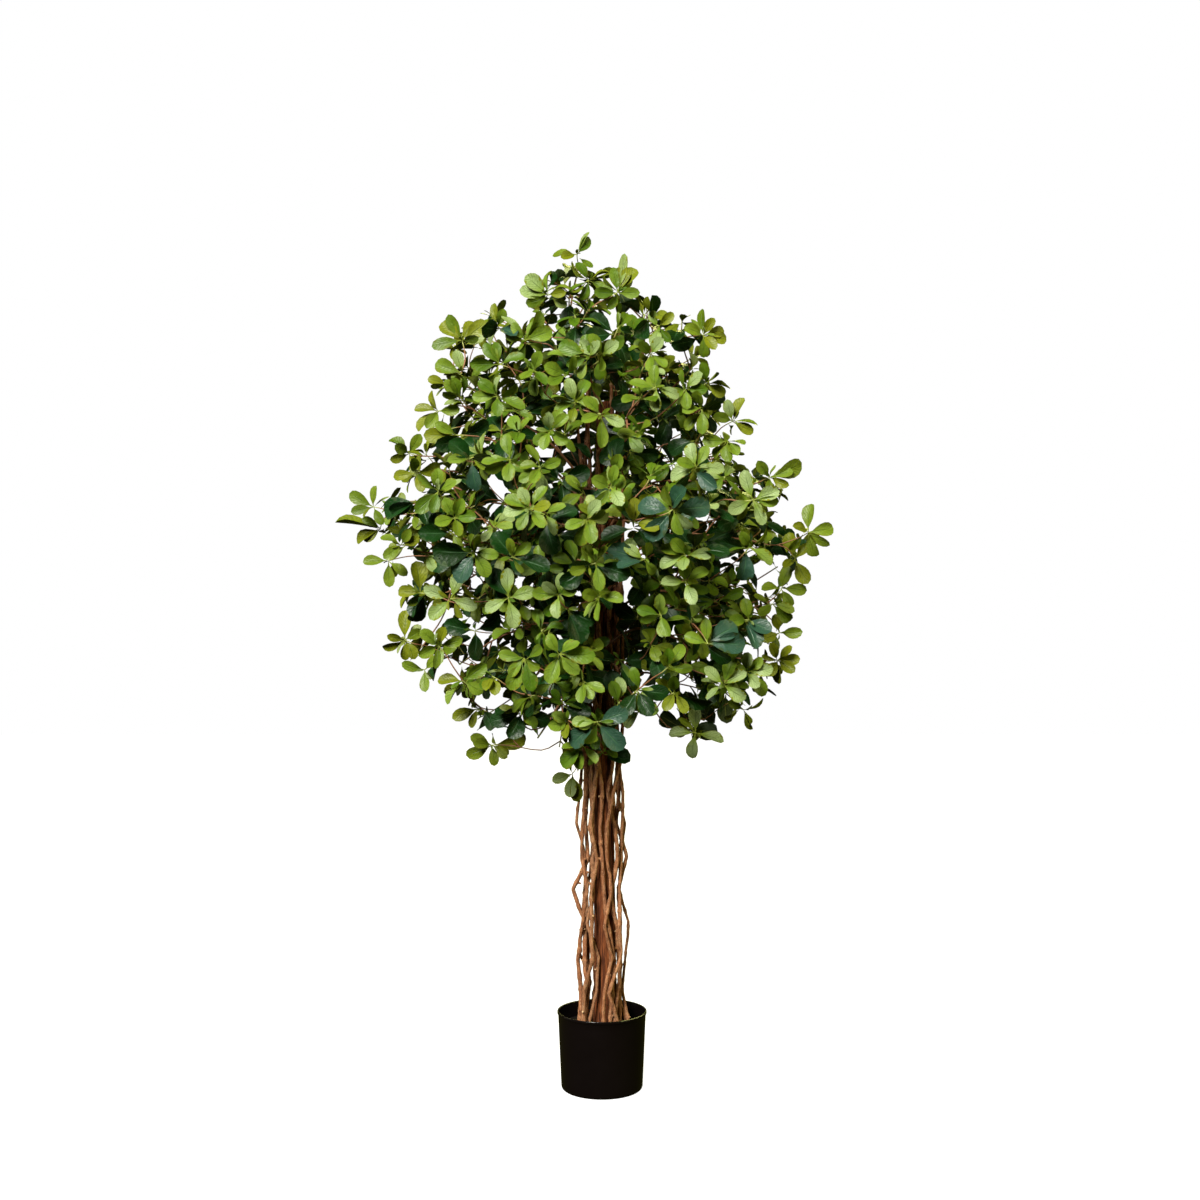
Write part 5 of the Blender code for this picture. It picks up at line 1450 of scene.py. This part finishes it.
def leafPoints(name, whorls):
    found = [leaf for whorl in whorls for leaf in whorl]
    numbers = {key: [leaf[key] for leaf in found]
               for key in ("long", "wide", "curl", "cup", "wave", "twist", "tone", "deep", "olive")}
    vectors = {key: [leaf[key] for leaf in found] for key in ("spot", "along", "face")}
    return newObject(name, meshOf(name, [leaf["spot"] for leaf in found], numbers=numbers, vectors=vectors))


def joined(name, first, second):
    # Two meshes as one piece, each with its own finish
    with bpy.context.temp_override(active_object=first, selected_editable_objects=[first, second]):
        bpy.ops.object.join()
    first.name = first.data.name = name
    return first


def stemGreenness(route):
    # 1 at the whorl, 0 further down the twig
    left = np.cumsum([0] + [(b - a).length for a, b in zip(route[::-1], route[-2::-1])])[::-1]
    return list(np.clip(1.6 - left / sprigs["stemGreen"], 0, 1))


def makeSprays(mains, twigs):
    wires, tips = growSprigs(mains, twigs)
    print("whorls:", len(tips), "wires:", sum(len(group) for group in wires))
    crowd = Crowd()
    for group in wires:
        for route, _ in group:
            for point in route[::2]:
                crowd.add(point, -1)
    rng = random.Random(leaves["seed"])
    whorls = [[] for _ in mains]
    for number in sorted(range(len(tips)), key=lambda n: tips[n][3] is None):  # those of the picture first
        spot, lead, owner, shown = tips[number]
        whorls[owner].append(growWhorl(crowd, number, spot, lead, rng, shown))
    print("leaves:", sum(len(whorl) for group in whorls for whorl in group))
    leafTemplate = bladeTemplate()
    blades, tubes = leafTree(), wireTree("twigs")
    leafMaterial, twigMaterial = leafFinish(), twigFinish()
    total = 0
    for index, (group, branchWhorls) in enumerate(zip(wires, whorls)):
        foliage = leafPoints("foliage", branchWhorls)
        values = {"Blade": leafTemplate, "Thickness": leaves["thickness"], "Finish": leafMaterial}
        baked(foliage, blades, values, ("alongBlade", "acrossBlade", "underside", "deep", "tone", "olive"))
        green = [share for route, _ in group for share in stemGreenness(route)]
        stems = lineObject("stems", group, {"green": green})
        baked(stems, tubes, skinValues(twigSkin, twigMaterial), ("green",))
        item = joined(f"leafySpray{index + 1:02d}", foliage, stems)
        total += sum(len(face.vertices) - 2 for face in item.data.polygons)
        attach(item, "root")
        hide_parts(f"branch_{index + 1:02d}")
    bpy.data.objects.remove(leafTemplate, do_unlink=True)
    print("spray triangles:", total)


lamps = (  # name, place, aim, size, watts, colour
    ("key", keyLamp, (0, 0, 0.95), 2.2, 1125, (1.0, 0.975, 0.90)),
    ("fill", (4.0, -2.4, 2.0), (0, 0, 0.9), 2.0, 100, (1.0, 0.96, 0.40)),
    ("back", (1.0, 5.0, 3.8), (0, 0, 1.0), 2.2, 225, (1.0, 0.97, 0.32)),
    ("rim", (-2.6, 0.3, 0.7), (0, 0, 0.25), 0.8, 8, (1.0, 0.92, 0.75)),
)
studio = {"floorSize": 14, "floorShade": 0.30, "floorGlow": 1.0, "around": 0.032, "tint": (1.0, 0.95, 0.16)}


def makeStage():
    bpy.ops.mesh.primitive_plane_add(size=studio["floorSize"])
    floor = bpy.context.object
    floor.name = "paleFloor"
    material, _, shader = newFinish("palePaper")
    shade = studio["floorShade"]
    feed(shader, BaseColor=(shade, shade, shade, 1), Roughness=0.9, EmissionColor=(1, 1, 1, 1),
         EmissionStrength=studio["floorGlow"])
    floor.data.materials.append(material)
    floor.visible_diffuse = floor.visible_glossy = False  # so that the glowing paper doesn't light the tree
    world = bpy.data.worlds.new("studio")
    world.use_nodes = True
    back = world.node_tree.nodes["Background"]
    plug = Plug(world.node_tree)
    seen = plug.make("ShaderNodeLightPath", out="Is Camera Ray")
    plug.tree.links.new((seen * (1 - studio["around"]) + studio["around"]).socket, back.inputs["Strength"])
    plug.tree.links.new(seen.mixed(studio["tint"], (1, 1, 1)).socket, back.inputs["Color"])
    bpy.context.scene.world = world
    for name, place, aim, size, watts, colour in lamps:
        lamp = bpy.data.lights.new(name, "AREA")
        lamp.size, lamp.energy, lamp.color = size, watts, colour
        item = newObject(name, lamp)
        item.location = place
        item.rotation_euler = (Vector(aim) - Vector(place)).to_track_quat("-Z", "Y").to_euler()
    camera = bpy.data.cameras.new("camera")
    camera.lens, camera.sensor_width = view["lens"], view["sensor"]
    item = newObject("camera", camera)
    item.location = view["camera"]
    item.rotation_euler = (math.radians(90), 0, 0)
    bpy.context.scene.camera = item
    bpy.context.scene.view_settings.view_transform = "Standard"


makeStage()
print("stage ready")
space = Space()
routes = stickRoutes()
for index, route in enumerate(routes):
    space.add(sampled(*route), index)
mains = growMains(space)
space.add(sampled(*trunkRoute()), sticks["count"])
twigs = growTwigs(mains, space)
print("grown:", len(mains), "main twigs,", sum(len(group) for group in twigs), "side twigs")
makePot()
makeGround()
print("pot ready")
makeTrunk()
makeSticks(routes)
print("trunk and sticks ready")
makeSprays(mains, twigs)
print("sprays ready")
